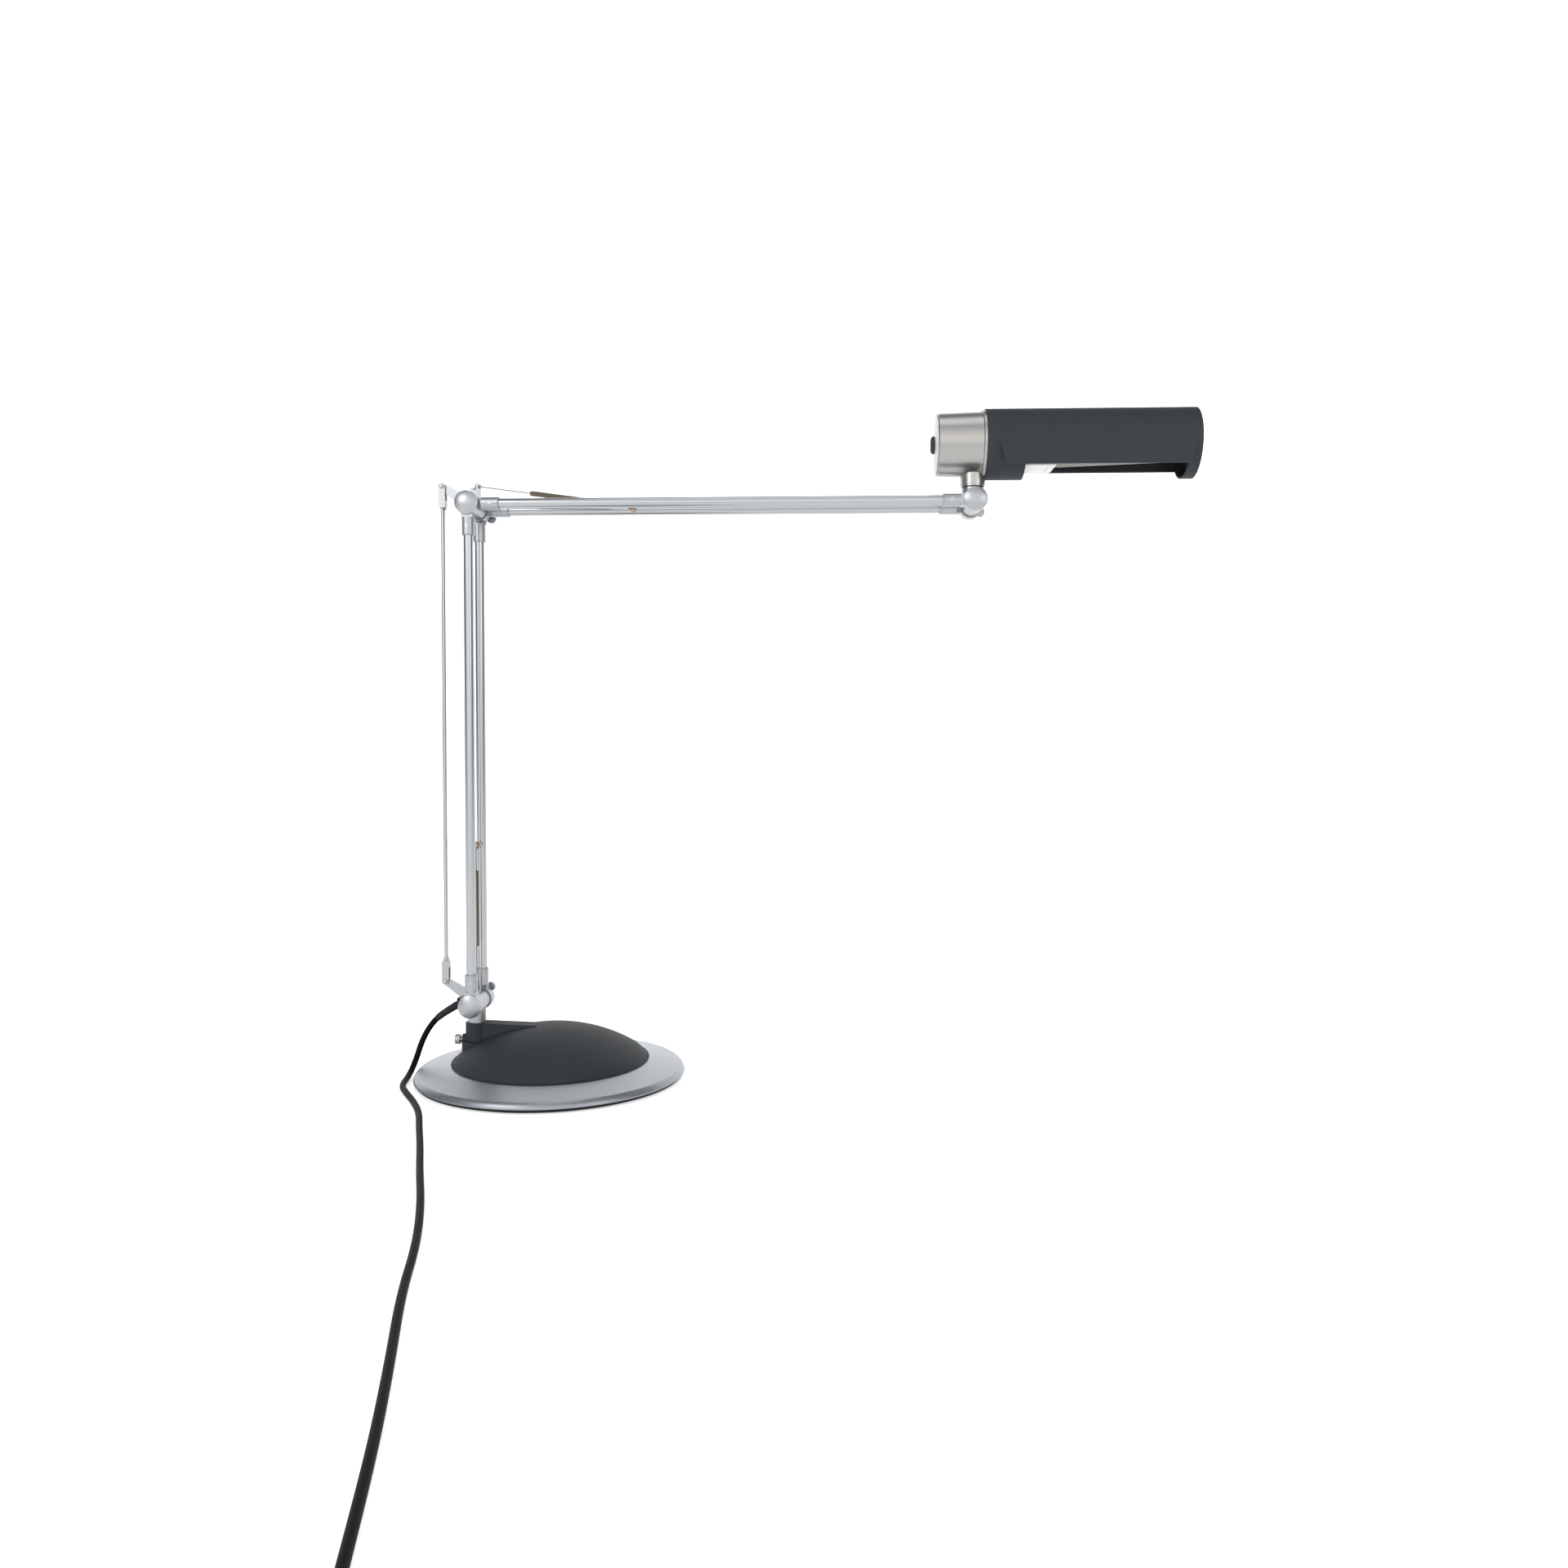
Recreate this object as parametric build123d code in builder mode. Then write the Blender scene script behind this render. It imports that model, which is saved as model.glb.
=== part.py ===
from build123d import *
import os
from math import atan2, cos, pi, radians, sin, tan

# Swing arm desk lamp. A heavy round base carries a post at its edge. A bracket turns on
# the post and holds two sprung arms of twin tubes. A tie rod beside the lower arm keeps
# the elbow bracket level. The tubular head tilts and turns at the end of the upper arm,
# and its shade rolls about its own axis.
# Millimetres. The origin is the centre of the base's underside, +X runs along the upper
# arm, +Z is up and -Y is the front.

os.makedirs("parts", exist_ok=True)

# Fits
slip = 0.05  # radial play of a shaft in its hole
seat = 0.05  # gap between seated faces
run = 0.3  # gap between pieces that move past each other

# Base
base_r = 110.0
pad_t, pad_inset = 1.5, 6.0
pan_t, pan_inset = 2.5, 1.2
ring_lip, bevel_w, bevel_h, bevel_bulge = 0.8, 3.0, 4.2, 0.35
ring_rise, ring_t, ring_lap = 5.5, 1.6, 6.0  # the lap is how far the cover sits over the ring
cover_r, cover_rise, cover_wall = 80.0, 29.0, 2.2
crown_r, crown_angle = 135.0, radians(31.6)  # the dome's main arc and where it rolls over
weight_gap = 1.2
screw_r, screw_head_r, screw_head_h, screw_top = 1.95, 3.7, 2.0, 26.0
screw_circle_r, screw_count, boss_r = 45.0, 4, 4.0

# Post on the base, the bracket's spigot in it and the screw that clamps it
post_x, post_r, post_top = -62.0, 9.4, 45.0
foot_r, foot_top, foot_round = 12.6, 30.0, 2.4
spine_w, spine_end_x, spine_drop, spine_round = 14.0, -12.0, 1.4, 2.0
liner_r, spigot_r = 7.0, 5.0
clamp_z, clamp_r, clamp_boss_r, clamp_boss_reach = 30.5, 2.0, 4.6, 11.8
clamp_head_r, clamp_head_t, clamp_stand_off = 4.2, 4.0, 2.2
clamp_notches, clamp_notch_r = 16, 0.35

# Arms
arm_length = 408.0  # pivot to pivot, the same for both arms and for the tie rod
pivot_z = 62.0
tube_y = 16.0  # each tube's distance from the middle plane
tube_r, tube_wall = 4.0, 0.8
sleeve_wall, sleeve_start, sleeve_reach, tube_inset = 1.1, 11.5, 25.5, 13.2
knuckle_r, knuckle_w, tongue_w = 9.0, 10.0, 9.6
barrel_r, washer_r, washer_t = 7.9, 7.4, 0.6
bolt_r, bolt_head_r, bolt_head_t, bolt_tail = 2.5, 4.4, 2.2, 28.6
cap_r, cap_rim, cap_dome = 9.5, 1.4, 2.5
knob_hub_r, knob_t, lobe_r, lobe_reach, lobe_t = 4.8, 6.0, 4.0, 9.0, 3.2
knob_angles = {"lower": 60.0, "elbow": -30.0, "head": -12.0}
pin_reach, pin_r, pin_half = 130.0, 2.0, 15.6
lead_r, lead_play = 1.6, 0.1

# Levers, tie rod and springs
lever_x, lever_z, lever_t = -25.7, 17.0, 3.0
lever_root_r, lever_tip_r = 5.4, 3.0
horn_z, horn_r, horn_eye_r = 17.0, 2.4, 0.9
tie_r, tie_pin_r, tie_hole_r = 1.6, 1.45, 1.75
fork_w, fork_t, fork_length, fork_slot, fork_slot_depth = 5.4, 6.8, 17.5, 3.6, 11.5
tab_x, tab_t, tab_w, tab_low = 3.6, 1.2, 9.0, 5.0
hook_screw_r, hook_screw_head_r, hook_screw_head_t = 1.2, 2.2, 1.4
spring_r, spring_wire_r, coil_length, coil_from_pin = 2.25, 0.5, 63.5, 20.7

# Head
head_rise = 47.5  # the head's axis above the arm's end pivot
neck_r, neck_low, neck_top, neck_spigot_r, neck_spigot_top = 9.0, 3.0, 13.0, 6.0, 20.0
collar_r, collar_groove_h, collar_groove = 10.0, 1.4, 0.5
housing_left, housing_right = -29.2, 6.2
housing_left_r, housing_right_r, housing_wall = 24.8, 25.9, 1.5
end_bulge, end_edge_t = 2.5, 0.7
button_r, button_stands, button_stem_r, button_travel = 7.0, 2.5, 2.4, 1.5
switch_r, switch_length = 8.0, 9.0
ballast_size = (18.0, 26.0, 24.0)
ballast_x, ballast_up = -7.2, 5.0
rim_r, rim_t = 27.2, 2.4
shade_r, shade_wall, shade_end = 28.0, 1.3, 175.7
hub_r, hub_bore_r, hub_length = 5.9, 4.0, 5.0
window_start, window_end, window_front, window_back = 39.5, 167.5, 75.0, 48.0
skirt_top_span, skirt_low_span, skirt_h, skirt_t = (17.0, 173.4), (22.9, 168.4), 21.7, 1.3
shade_cap_bulge = 4.2
holder_end, holder_low, holder_top, holder_w, holder_round = 67.0, -20.0, 9.0, 30.0, 5.0
holder_seam_x, holder_seam = 59.0, 0.4
reflector_gap, reflector_t, reflector_end = 0.9, 0.7, 173.7
reflector_low_start, reflector_low_end = -14.0, -9.3
lamp_r, lamp_spread, lamp_up, lamp_end, lamp_base_t = 6.0, 7.2, 2.0, 165.0, 14.0

# Mains cord
cord_r = 2.4
gland_reach, gland_length, gland_r, gland_tip_r = 12.6, 12.0, 3.9, 2.9
gland_x, gland_z = -6.0, 3.2  # where the gland's axis starts, from the lower pivot
gland_down = 30.0  # how far the gland points below level
coil_turn_r, coil_columns, coil_rows = 27.2, 4, 2
plug_length, plug_w, plug_t, plug_neck = 30.0, 26.0, 13.6, 10.0
plug_pin_r, plug_pin_length, plug_pin_spread = 2.0, 19.0, 18.6
plug_ahead, plug_aside = 25.2, 30.6  # the plug's neck from the coil's centre, along X and Y
neck_lead_low, neck_lead_top = 4.0, 30.0

# Levels and places worked out from the sizes above
pan_z = pad_t
ring_z = pan_z + pan_t
ring_edge_z = ring_z + ring_lip
ring_top_z = ring_edge_z + bevel_h
flat_r = base_r - bevel_w
ring_slope = ring_rise / (flat_r - cover_r)
ring_bore_r = cover_r - ring_lap
cover_rim_z = ring_top_z + ring_rise
apex_z = cover_rim_z + cover_rise
elbow_z = pivot_z + arm_length
end_x = post_x + arm_length
head_z = elbow_z + head_rise
reflector_r = shade_r - shade_wall - reflector_gap
sleeve_r = tube_r + slip + sleeve_wall
lead_offset = tube_r - tube_wall - lead_r - lead_play
cheek_in = tube_y - knuckle_w / 2
cheek_out = tube_y + knuckle_w / 2
barrel_half = cheek_in - washer_t - 2 * seat
lower_pivot = Location((post_x, 0, pivot_z))
elbow_pivot = Location((post_x, 0, elbow_z))
upper_arm_frame = Location((post_x, 0, elbow_z), (0, 90, 0))
end_pivot = Location((end_x, 0, elbow_z))
head_axis = Axis((end_x, 0, head_z), (1, 0, 0))


def write(part, name):
    part.label = name
    export_step(part, f"parts/{name}.step")


def quarter_point(rim_r, bulge):
    """The middle of a sphere's arc from its rim to its crown, as (rise, radius)."""
    centre = (bulge**2 - rim_r**2) / (2 * bulge)
    r = bulge - centre
    half = atan2(rim_r, -centre) / 2
    return centre + r * cos(half), r * sin(half)


def placed(form, *locations):
    """A copy of the form at each location, as one part."""
    with BuildPart() as copies:
        with Locations(*locations):
            add(form)
    return copies.part


def ring_height(r):
    """The height of the ring's top face at radius r."""
    return ring_top_z + (flat_r - r) * ring_slope


# ---------------------------------------------------------------- base


def dome(inset, *foot):
    """The cover's form drawn in by inset, closed below along the points in foot."""
    centre_z = apex_z - crown_r
    r = crown_r - inset
    top = (0, centre_z + r)
    middle = (r * sin(crown_angle / 2), centre_z + r * cos(crown_angle / 2))
    turn = (r * sin(crown_angle), centre_z + r * cos(crown_angle))
    with BuildPart() as form:
        with BuildSketch(Plane.XZ):
            with BuildLine():
                ThreePointArc(top, middle, turn)
                TangentArc(turn, foot[0], tangent=(cos(crown_angle), -sin(crown_angle)))
                Polyline(*foot, top)
            make_face()
        revolve(axis=Axis.Z)
    return form.part


def screw_form(play):
    """A countersunk screw from below, or with play the hole for it."""
    r, head = screw_r + play, screw_head_r + play
    low = pan_z + (0 if play else seat)
    with BuildPart() as form:
        with BuildSketch(Plane.XZ):
            Polygon(
                (0, low),
                (head, low),
                (r, low + screw_head_h),
                (r, screw_top + play),
                (0, screw_top + play),
                align=None,
            )
        revolve(axis=Axis.Z)
    return form.part


screw_spots = PolarLocations(screw_circle_r, screw_count, start_angle=45).locations

with BuildPart() as base_pad:
    with BuildSketch():
        Circle(base_r - pad_inset)
    extrude(amount=pad_t)
    chamfer(base_pad.edges().group_by(Axis.Z)[0], 0.4)
write(base_pad.part, "base_pad")

with BuildPart() as base_pan:
    with BuildSketch(Plane.XY.offset(pan_z)):
        Circle(base_r - pan_inset)
    extrude(amount=pan_t)
    chamfer(base_pan.edges().group_by(Axis.Z)[0], 0.8)
    with Locations(*screw_spots):
        add(screw_form(slip), mode=Mode.SUBTRACT)
write(base_pan.part, "base_pan")

with BuildPart() as base_ring:
    with BuildSketch(Plane.XZ):
        with BuildLine():
            outer = (base_r, ring_edge_z)
            shoulder = (flat_r, ring_top_z)
            bulge = (
                base_r - bevel_w / 2 + bevel_bulge,
                ring_edge_z + bevel_h / 2 + bevel_bulge,
            )
            Line((base_r, ring_z), outer)
            ThreePointArc(outer, bulge, shoulder)
            Polyline(
                shoulder,
                (ring_bore_r, ring_height(ring_bore_r)),
                (ring_bore_r, ring_height(ring_bore_r) - ring_t),
                (flat_r - ring_t / 3, ring_top_z - ring_t),
                (base_r - ring_t, ring_edge_z),
                (base_r - ring_t, ring_z),
                (base_r, ring_z),
            )
        make_face()
    revolve(axis=Axis.Z)
write(base_ring.part, "base_ring")

cover_foot = (
    (cover_r, cover_rim_z + seat),
    (ring_bore_r, ring_height(ring_bore_r) + seat),
    (0, ring_height(ring_bore_r) + seat),
)
inner_r = cover_r - cover_wall
cover_inside = dome(
    cover_wall, (inner_r, ring_height(inner_r)), (inner_r, ring_z), (0, ring_z)
)

with BuildPart() as base_cover:
    add(dome(0, *cover_foot))
    add(cover_inside, mode=Mode.SUBTRACT)
    with BuildPart(mode=Mode.PRIVATE) as studs:
        with BuildSketch(Plane.XY.offset(ring_height(ring_bore_r) + seat)):
            with Locations(*screw_spots):
                Circle(boss_r)
            with Locations((post_x, 0)):
                Circle(post_r)
        extrude(amount=apex_z)
        add(dome(0, *cover_foot), mode=Mode.INTERSECT)
    add(studs.part)
    with BuildSketch(Plane.XY.offset(ring_height(ring_bore_r) + seat)):
        with Locations((post_x, 0)):
            Circle(foot_r)
    extrude(amount=foot_top - ring_height(ring_bore_r) - seat)
    fillet(
        base_cover.edges()
        .filter_by(GeomType.CIRCLE)
        .filter_by(lambda e: abs(e.center().Z - foot_top) < 0.01)
        .sort_by(lambda e: e.radius)[-1],
        foot_round,
    )
    with BuildSketch(Plane.XY.offset(foot_top)):
        with Locations((post_x, 0)):
            Circle(post_r)
    extrude(amount=post_top - foot_top)
    with BuildSketch(Plane.XZ) as spine_side:
        with BuildLine():
            Polyline(
                (post_x, foot_top),
                (post_x, post_top),
                (post_x + post_r, post_top),
                (spine_end_x, post_top - spine_drop),
                (spine_end_x + 6, apex_z - cover_wall),
                (post_x + 20, apex_z - crown_r + (crown_r**2 - 42**2) ** 0.5 - 1),
                close=True,
            )
        make_face()
    extrude(amount=spine_w / 2, both=True)
    with BuildSketch(Plane.YZ.offset(post_x)):
        with Locations((0, clamp_z)):
            Circle(clamp_boss_r)
    extrude(amount=-clamp_boss_reach)
    with BuildSketch(Plane.XY.offset(ring_z)):
        with Locations((post_x, 0)):
            Circle(liner_r + slip)
    extrude(amount=post_top, mode=Mode.SUBTRACT)
    with BuildSketch(Plane.YZ.offset(post_x)):
        with Locations((0, clamp_z)):
            Circle(clamp_r + run)
    extrude(amount=-clamp_boss_reach - 1, mode=Mode.SUBTRACT)
    with Locations(*screw_spots):
        add(screw_form(slip), mode=Mode.SUBTRACT)
write(base_cover.part, "base_cover")

weight_edge_r = base_r - bevel_w - ring_t
weight_inset = cover_wall + weight_gap
weight_foot = (
    (ring_bore_r - weight_gap, ring_height(ring_bore_r) - ring_t - run),
    (ring_bore_r + weight_gap, ring_height(ring_bore_r + weight_gap) - ring_t - run),
    (weight_edge_r, ring_height(weight_edge_r) - ring_t - run),
    (weight_edge_r, ring_z + seat),
    (0, ring_z + seat),
)
with BuildPart() as base_weight:
    add(dome(weight_inset, *weight_foot))
    with BuildSketch(Plane.XY.offset(ring_height(ring_bore_r))):
        with Locations((post_x, 0)):
            Circle(foot_r + run)
        with Locations(*screw_spots):
            Circle(boss_r + run)
    extrude(amount=apex_z, mode=Mode.SUBTRACT)
    with BuildSketch(Plane.XY.offset(ring_z)):
        with Locations((post_x, 0)):
            Circle(liner_r + slip)
    extrude(amount=apex_z, mode=Mode.SUBTRACT)
    with Locations(*screw_spots):
        add(screw_form(slip), mode=Mode.SUBTRACT)
write(base_weight.part, "base_weight")

write(placed(screw_form(0), *screw_spots), "pan_screws")

with BuildPart() as post_tube:
    with BuildSketch(Plane.XY.offset(ring_z + seat)):
        with Locations((post_x, 0)):
            Circle(liner_r)
            Circle(spigot_r + slip, mode=Mode.SUBTRACT)
    extrude(amount=post_top - ring_z - 4 * seat)
    with BuildSketch(Plane.YZ.offset(post_x)):
        with Locations((0, clamp_z)):
            Circle(clamp_r + slip)
    extrude(amount=-clamp_boss_reach, mode=Mode.SUBTRACT)
write(post_tube.part, "post_tube")

# ---------------------------------------------------------------- clamp screw

clamp_face_x = post_x - clamp_boss_reach - clamp_stand_off
with BuildPart() as thumb_screw:
    tip_x = post_x - spigot_r - 2 * slip
    with BuildSketch(Plane.YZ.offset(tip_x)):
        with Locations((0, clamp_z)):
            Circle(clamp_r)
    extrude(amount=clamp_face_x - tip_x)
    with BuildSketch(Plane.YZ.offset(clamp_face_x)):
        with Locations((0, clamp_z)):
            Circle(clamp_head_r)
            with PolarLocations(clamp_head_r, clamp_notches):
                Circle(clamp_notch_r, mode=Mode.SUBTRACT)
    extrude(amount=-clamp_head_t)
write(thumb_screw.part, "thumb_screw")

# ---------------------------------------------------------------- pivots


def bolt():
    """A pivot bolt along Y with its head at the front, about the origin."""
    with BuildPart() as form:
        with BuildSketch(Plane.XZ.offset(cheek_out + seat)):
            Circle(bolt_head_r)
        extrude(amount=bolt_head_t)
        with BuildSketch(Plane.XZ.offset(cheek_out + seat)):
            Circle(bolt_r)
        extrude(amount=-cheek_out - seat - bolt_tail)
    return form.part


def cap():
    """The domed disc over a pivot bolt's head."""
    face = -cheek_out - 2 * seat
    with BuildPart() as form:
        with BuildSketch(Plane.YZ):
            with BuildLine():
                rim = (face - cap_rim, cap_r)
                crown = (rim[0] - cap_dome, 0)
                rise, r = quarter_point(cap_r, cap_dome)
                ThreePointArc(rim, (rim[0] - rise, r), crown)
                Polyline(crown, (face, 0), (face, cap_r), rim)
            make_face()
        revolve(axis=Axis.Y)
        with BuildSketch(Plane.XZ.offset(-face)):
            Circle(bolt_head_r + slip)
        extrude(amount=bolt_head_t + seat, mode=Mode.SUBTRACT)
    return form.part


def washers():
    with BuildPart() as form:
        with BuildSketch(Plane.XZ.offset(barrel_half + seat)):
            Circle(washer_r)
            Circle(bolt_r + slip, mode=Mode.SUBTRACT)
        extrude(amount=washer_t)
        mirror(about=Plane.XZ)
    return form.part


def knob(angle):
    """A two-lobed tension knob on a bolt's rear end, lobes at the angle from +X."""
    near = cheek_out + run
    with BuildPart() as form:
        with BuildSketch(Plane.XZ.offset(-near - knob_t)):
            Circle(knob_hub_r)
        extrude(amount=knob_t)
        chamfer(form.edges().group_by(Axis.Y)[-1], 0.6)
        with BuildSketch(Plane.XZ.offset(-near - knob_t + 1)):
            with PolarLocations(lobe_reach, 2, start_angle=angle):
                Circle(lobe_r)
            with Locations(Rotation(0, 0, angle)):
                Rectangle(2 * lobe_reach, 1.3 * lobe_r)
        extrude(amount=lobe_t)
        with BuildSketch(Plane.XZ.offset(-near - knob_t - 1)):
            Circle(bolt_r + slip)
        extrude(amount=knob_t + 2, mode=Mode.SUBTRACT)
    return form.part


def knuckles(inner, outer):
    """Both cheeks and sleeves at an arm's end: pivot at the origin, arm along +Z."""
    with BuildPart() as form:
        with BuildSketch(Plane.XZ.offset(inner)):
            Circle(knuckle_r)
            with Locations((0, sleeve_start / 2)):
                Rectangle(tongue_w, sleeve_start)
        extrude(amount=outer - inner)
        with BuildSketch(Plane.XY.offset(sleeve_start)):
            with Locations((0, -tube_y)):
                Circle(sleeve_r)
        extrude(amount=sleeve_reach - sleeve_start)
        with BuildSketch(Plane.XY.offset(tube_inset)):
            with Locations((0, -tube_y)):
                Circle(tube_r + slip)
        extrude(amount=sleeve_reach, mode=Mode.SUBTRACT)
        with BuildSketch(Plane.XZ.offset(cheek_in - 1)):
            Circle(bolt_r + slip)
        extrude(amount=knuckle_w + 2, mode=Mode.SUBTRACT)
        chamfer(form.edges().group_by(Axis.Z)[-1].sort_by(Edge.length)[-1], 0.5)
        mirror(about=Plane.XZ)
    return form.part


def tubes():
    """The arm's two tubes, with a hole across each for the spring pin."""
    with BuildPart() as form:
        with BuildSketch(Plane.XY.offset(tube_inset + seat)):
            with Locations((0, -tube_y), (0, tube_y)):
                Circle(tube_r)
                Circle(tube_r - tube_wall, mode=Mode.SUBTRACT)
        extrude(amount=arm_length - 2 * (tube_inset + seat))
        with BuildSketch(Plane.XZ):
            with Locations((0, pin_reach)):
                Circle(pin_r + slip)
        extrude(amount=pin_half + seat, both=True, mode=Mode.SUBTRACT)
    return form.part


def cross_pin():
    with BuildPart() as form:
        with BuildSketch(Plane.XZ):
            with Locations((0, pin_reach)):
                Circle(pin_r)
        extrude(amount=pin_half, both=True)
    return form.part


def lead():
    """The flex inside the rear tube, lying against its outer wall."""
    with BuildPart() as form:
        with BuildSketch(Plane.XY.offset(tube_inset + 2)):
            with Locations((0, tube_y + lead_offset)):
                Circle(lead_r)
        extrude(amount=arm_length - 2 * (tube_inset + 2))
    return form.part


def spring(eye_x, eye_z):
    """A stretched spring from the hook eye to the cross pin, as a plain round form."""
    eye, pin = Vector(eye_x, 0, eye_z), Vector(0, 0, pin_reach)
    along = (pin - eye).normalized()
    first = eye + along * (horn_r + run)
    last = pin - along * (pin_r + run)
    coil_end = pin - along * coil_from_pin
    coil_start = coil_end - along * coil_length
    with BuildPart() as form:
        with BuildSketch(Plane(first, z_dir=along)):
            Circle(spring_wire_r)
        extrude(amount=(last - first).length)
        with BuildSketch(Plane(coil_start, z_dir=along)):
            Circle(spring_r)
        extrude(amount=coil_length)
    return form.part


# ---------------------------------------------------------------- bracket on the post


def bracket_core():
    """What both brackets share: the barrel and the lever for the tie rod."""
    with BuildPart() as form:
        with BuildSketch(Plane.XZ):
            Circle(barrel_r)
        extrude(amount=barrel_half, both=True)
        with BuildSketch(Plane.XZ):
            Circle(lever_root_r)
            with Locations((lever_x, lever_z)):
                Circle(lever_tip_r)
            make_hull()
        extrude(amount=lever_t / 2, both=True)
        with BuildSketch(Plane.XZ):
            Circle(lever_tip_r)
            with Locations((0, horn_z)):
                Circle(horn_r)
            make_hull()
        extrude(amount=lever_t / 2, both=True)
    return form.part


def bracket_holes(eye_r):
    """The holes in a bracket: the bolt's, the tie rod pin's and the horn's eye."""
    with BuildPart() as form:
        with BuildSketch(Plane.XZ):
            Circle(bolt_r + slip)
            with Locations((lever_x, lever_z)):
                Circle(tie_hole_r)
            with Locations((0, horn_z)):
                Circle(eye_r)
        extrude(amount=barrel_half + 1, both=True)
    return form.part


spigot_low = ring_z + 2
collar_low = post_top - pivot_z + run
gland_dir = Vector(-cos(radians(gland_down)), 0, -sin(radians(gland_down)))
gland_start = Vector(gland_x, 0, gland_z)
gland_boss_length = 6.5

with BuildPart() as base_bracket:
    with Locations(lower_pivot):
        add(bracket_core())
    with BuildSketch(Plane.XY.offset(pivot_z + collar_low)):
        with Locations((post_x, 0)):
            Circle(liner_r + 0.4)
    extrude(amount=-collar_low)
    with BuildSketch(
        Plane(gland_start + Vector(post_x, 0, pivot_z), x_dir=(0, 1, 0), z_dir=gland_dir)
    ):
        Circle(gland_r + 1)
    extrude(amount=gland_boss_length)
    with BuildSketch(
        Plane(
            gland_start + Vector(post_x, 0, pivot_z) + gland_dir * (gland_reach - gland_length),
            x_dir=(0, 1, 0),
            z_dir=gland_dir,
        )
    ):
        Circle(gland_r + seat)
    extrude(amount=gland_length, mode=Mode.SUBTRACT)
    with BuildSketch(Plane.XY.offset(spigot_low)):
        with Locations((post_x, 0)):
            Circle(spigot_r + slip)
    extrude(amount=pivot_z - 5 - spigot_low, mode=Mode.SUBTRACT)
    with Locations(lower_pivot):
        add(bracket_holes(horn_eye_r), mode=Mode.SUBTRACT)
write(base_bracket.part, "base_bracket")

with BuildPart() as swivel_spigot:
    with BuildSketch(Plane.XY.offset(spigot_low)):
        with Locations((post_x, 0)):
            Circle(spigot_r)
    extrude(amount=pivot_z - 5 - seat - spigot_low)
    chamfer(swivel_spigot.edges().group_by(Axis.Z)[0], 0.8)
write(swivel_spigot.part, "swivel_spigot")

write(placed(bolt(), lower_pivot), "lower_pivot_bolt")
write(placed(washers(), lower_pivot), "lower_washers")
write(placed(cap(), lower_pivot), "lower_pivot_cap")
write(placed(knob(knob_angles["lower"]), lower_pivot), "lower_tension_knob")

# ---------------------------------------------------------------- lower arm

half_gap = slip * 2
outer_half = (tube_y + half_gap, cheek_out)
inner_half = (cheek_in, tube_y - half_gap)
far_end = Location((post_x, 0, elbow_z), (0, 180, 0))

write(placed(tubes(), lower_pivot), "lower_tubes")
write(placed(knuckles(cheek_in, cheek_out), lower_pivot), "lower_foot_knuckles")
write(placed(knuckles(*outer_half), far_end), "lower_top_knuckles")
write(placed(cross_pin(), lower_pivot), "lower_cross_pin")
write(placed(lead(), lower_pivot), "lower_arm_lead")
write(placed(spring(0, horn_z), lower_pivot), "lower_spring")

# ---------------------------------------------------------------- tie rod


def fork():
    """A rod end that straddles a lever: pivot at the origin, rod along +Z."""
    with BuildPart() as form:
        with BuildSketch(Plane.XZ):
            Circle(fork_w / 2)
            with Locations((0, fork_length / 2)):
                Rectangle(fork_w, fork_length)
        extrude(amount=fork_t / 2, both=True)
        chamfer(form.edges().filter_by(Axis.Y).group_by(Axis.Z)[-1], 0.9)
        with BuildSketch(Plane.YZ):
            with Locations((0, (fork_slot_depth - fork_w) / 2)):
                Rectangle(fork_slot, fork_slot_depth + fork_w)
        extrude(amount=fork_w, both=True, mode=Mode.SUBTRACT)
        with BuildSketch(Plane.XZ):
            Circle(tie_pin_r + slip)
        extrude(amount=fork_t, both=True, mode=Mode.SUBTRACT)
        with BuildSketch(Plane.XY.offset(fork_slot_depth + 1)):
            Circle(tie_r + slip)
        extrude(amount=fork_length, mode=Mode.SUBTRACT)
    return form.part


tie_low = Location((post_x + lever_x, 0, pivot_z + lever_z))
tie_high = Location((post_x + lever_x, 0, elbow_z + lever_z), (0, 180, 0))
with BuildPart() as tie_rod:
    with BuildSketch(Plane.XY.offset(pivot_z + lever_z + fork_slot_depth + 1 + seat)):
        with Locations((post_x + lever_x, 0)):
            Circle(tie_r)
    extrude(amount=arm_length - 2 * (fork_slot_depth + 1 + seat))
write(tie_rod.part, "tie_rod")
write(placed(fork(), tie_low, tie_high), "tie_rod_forks")

with BuildPart() as tie_pin:
    with BuildSketch(Plane.XZ):
        Circle(tie_pin_r)
    extrude(amount=fork_t / 2 + 0.4, both=True)
write(placed(tie_pin.part, tie_low, tie_high), "tie_rod_pins")

# ---------------------------------------------------------------- elbow

with BuildPart() as elbow_bracket:
    with Locations(elbow_pivot):
        add(bracket_core())
        with Locations((tab_x + tab_t / 2, 0, (tab_low + horn_z + horn_r) / 2)):
            Box(tab_t, tab_w, horn_z + horn_r - tab_low)
        with Locations((tab_x / 2, 0, horn_z)):
            Box(tab_x, lever_t, 2 * horn_r)
        add(bracket_holes(hook_screw_r + slip), mode=Mode.SUBTRACT)
write(elbow_bracket.part, "elbow_bracket")

with BuildPart() as elbow_hook_screw:
    with BuildSketch(Plane.XZ.offset(-lever_t / 2)):
        with Locations((post_x, elbow_z + horn_z)):
            Circle(hook_screw_r)
    extrude(amount=lever_t + hook_screw_head_t)
    with BuildSketch(Plane.XZ.offset(lever_t / 2)):
        with Locations((post_x, elbow_z + horn_z)):
            Circle(hook_screw_head_r)
    extrude(amount=hook_screw_head_t)
write(elbow_hook_screw.part, "elbow_hook_screw")

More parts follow.
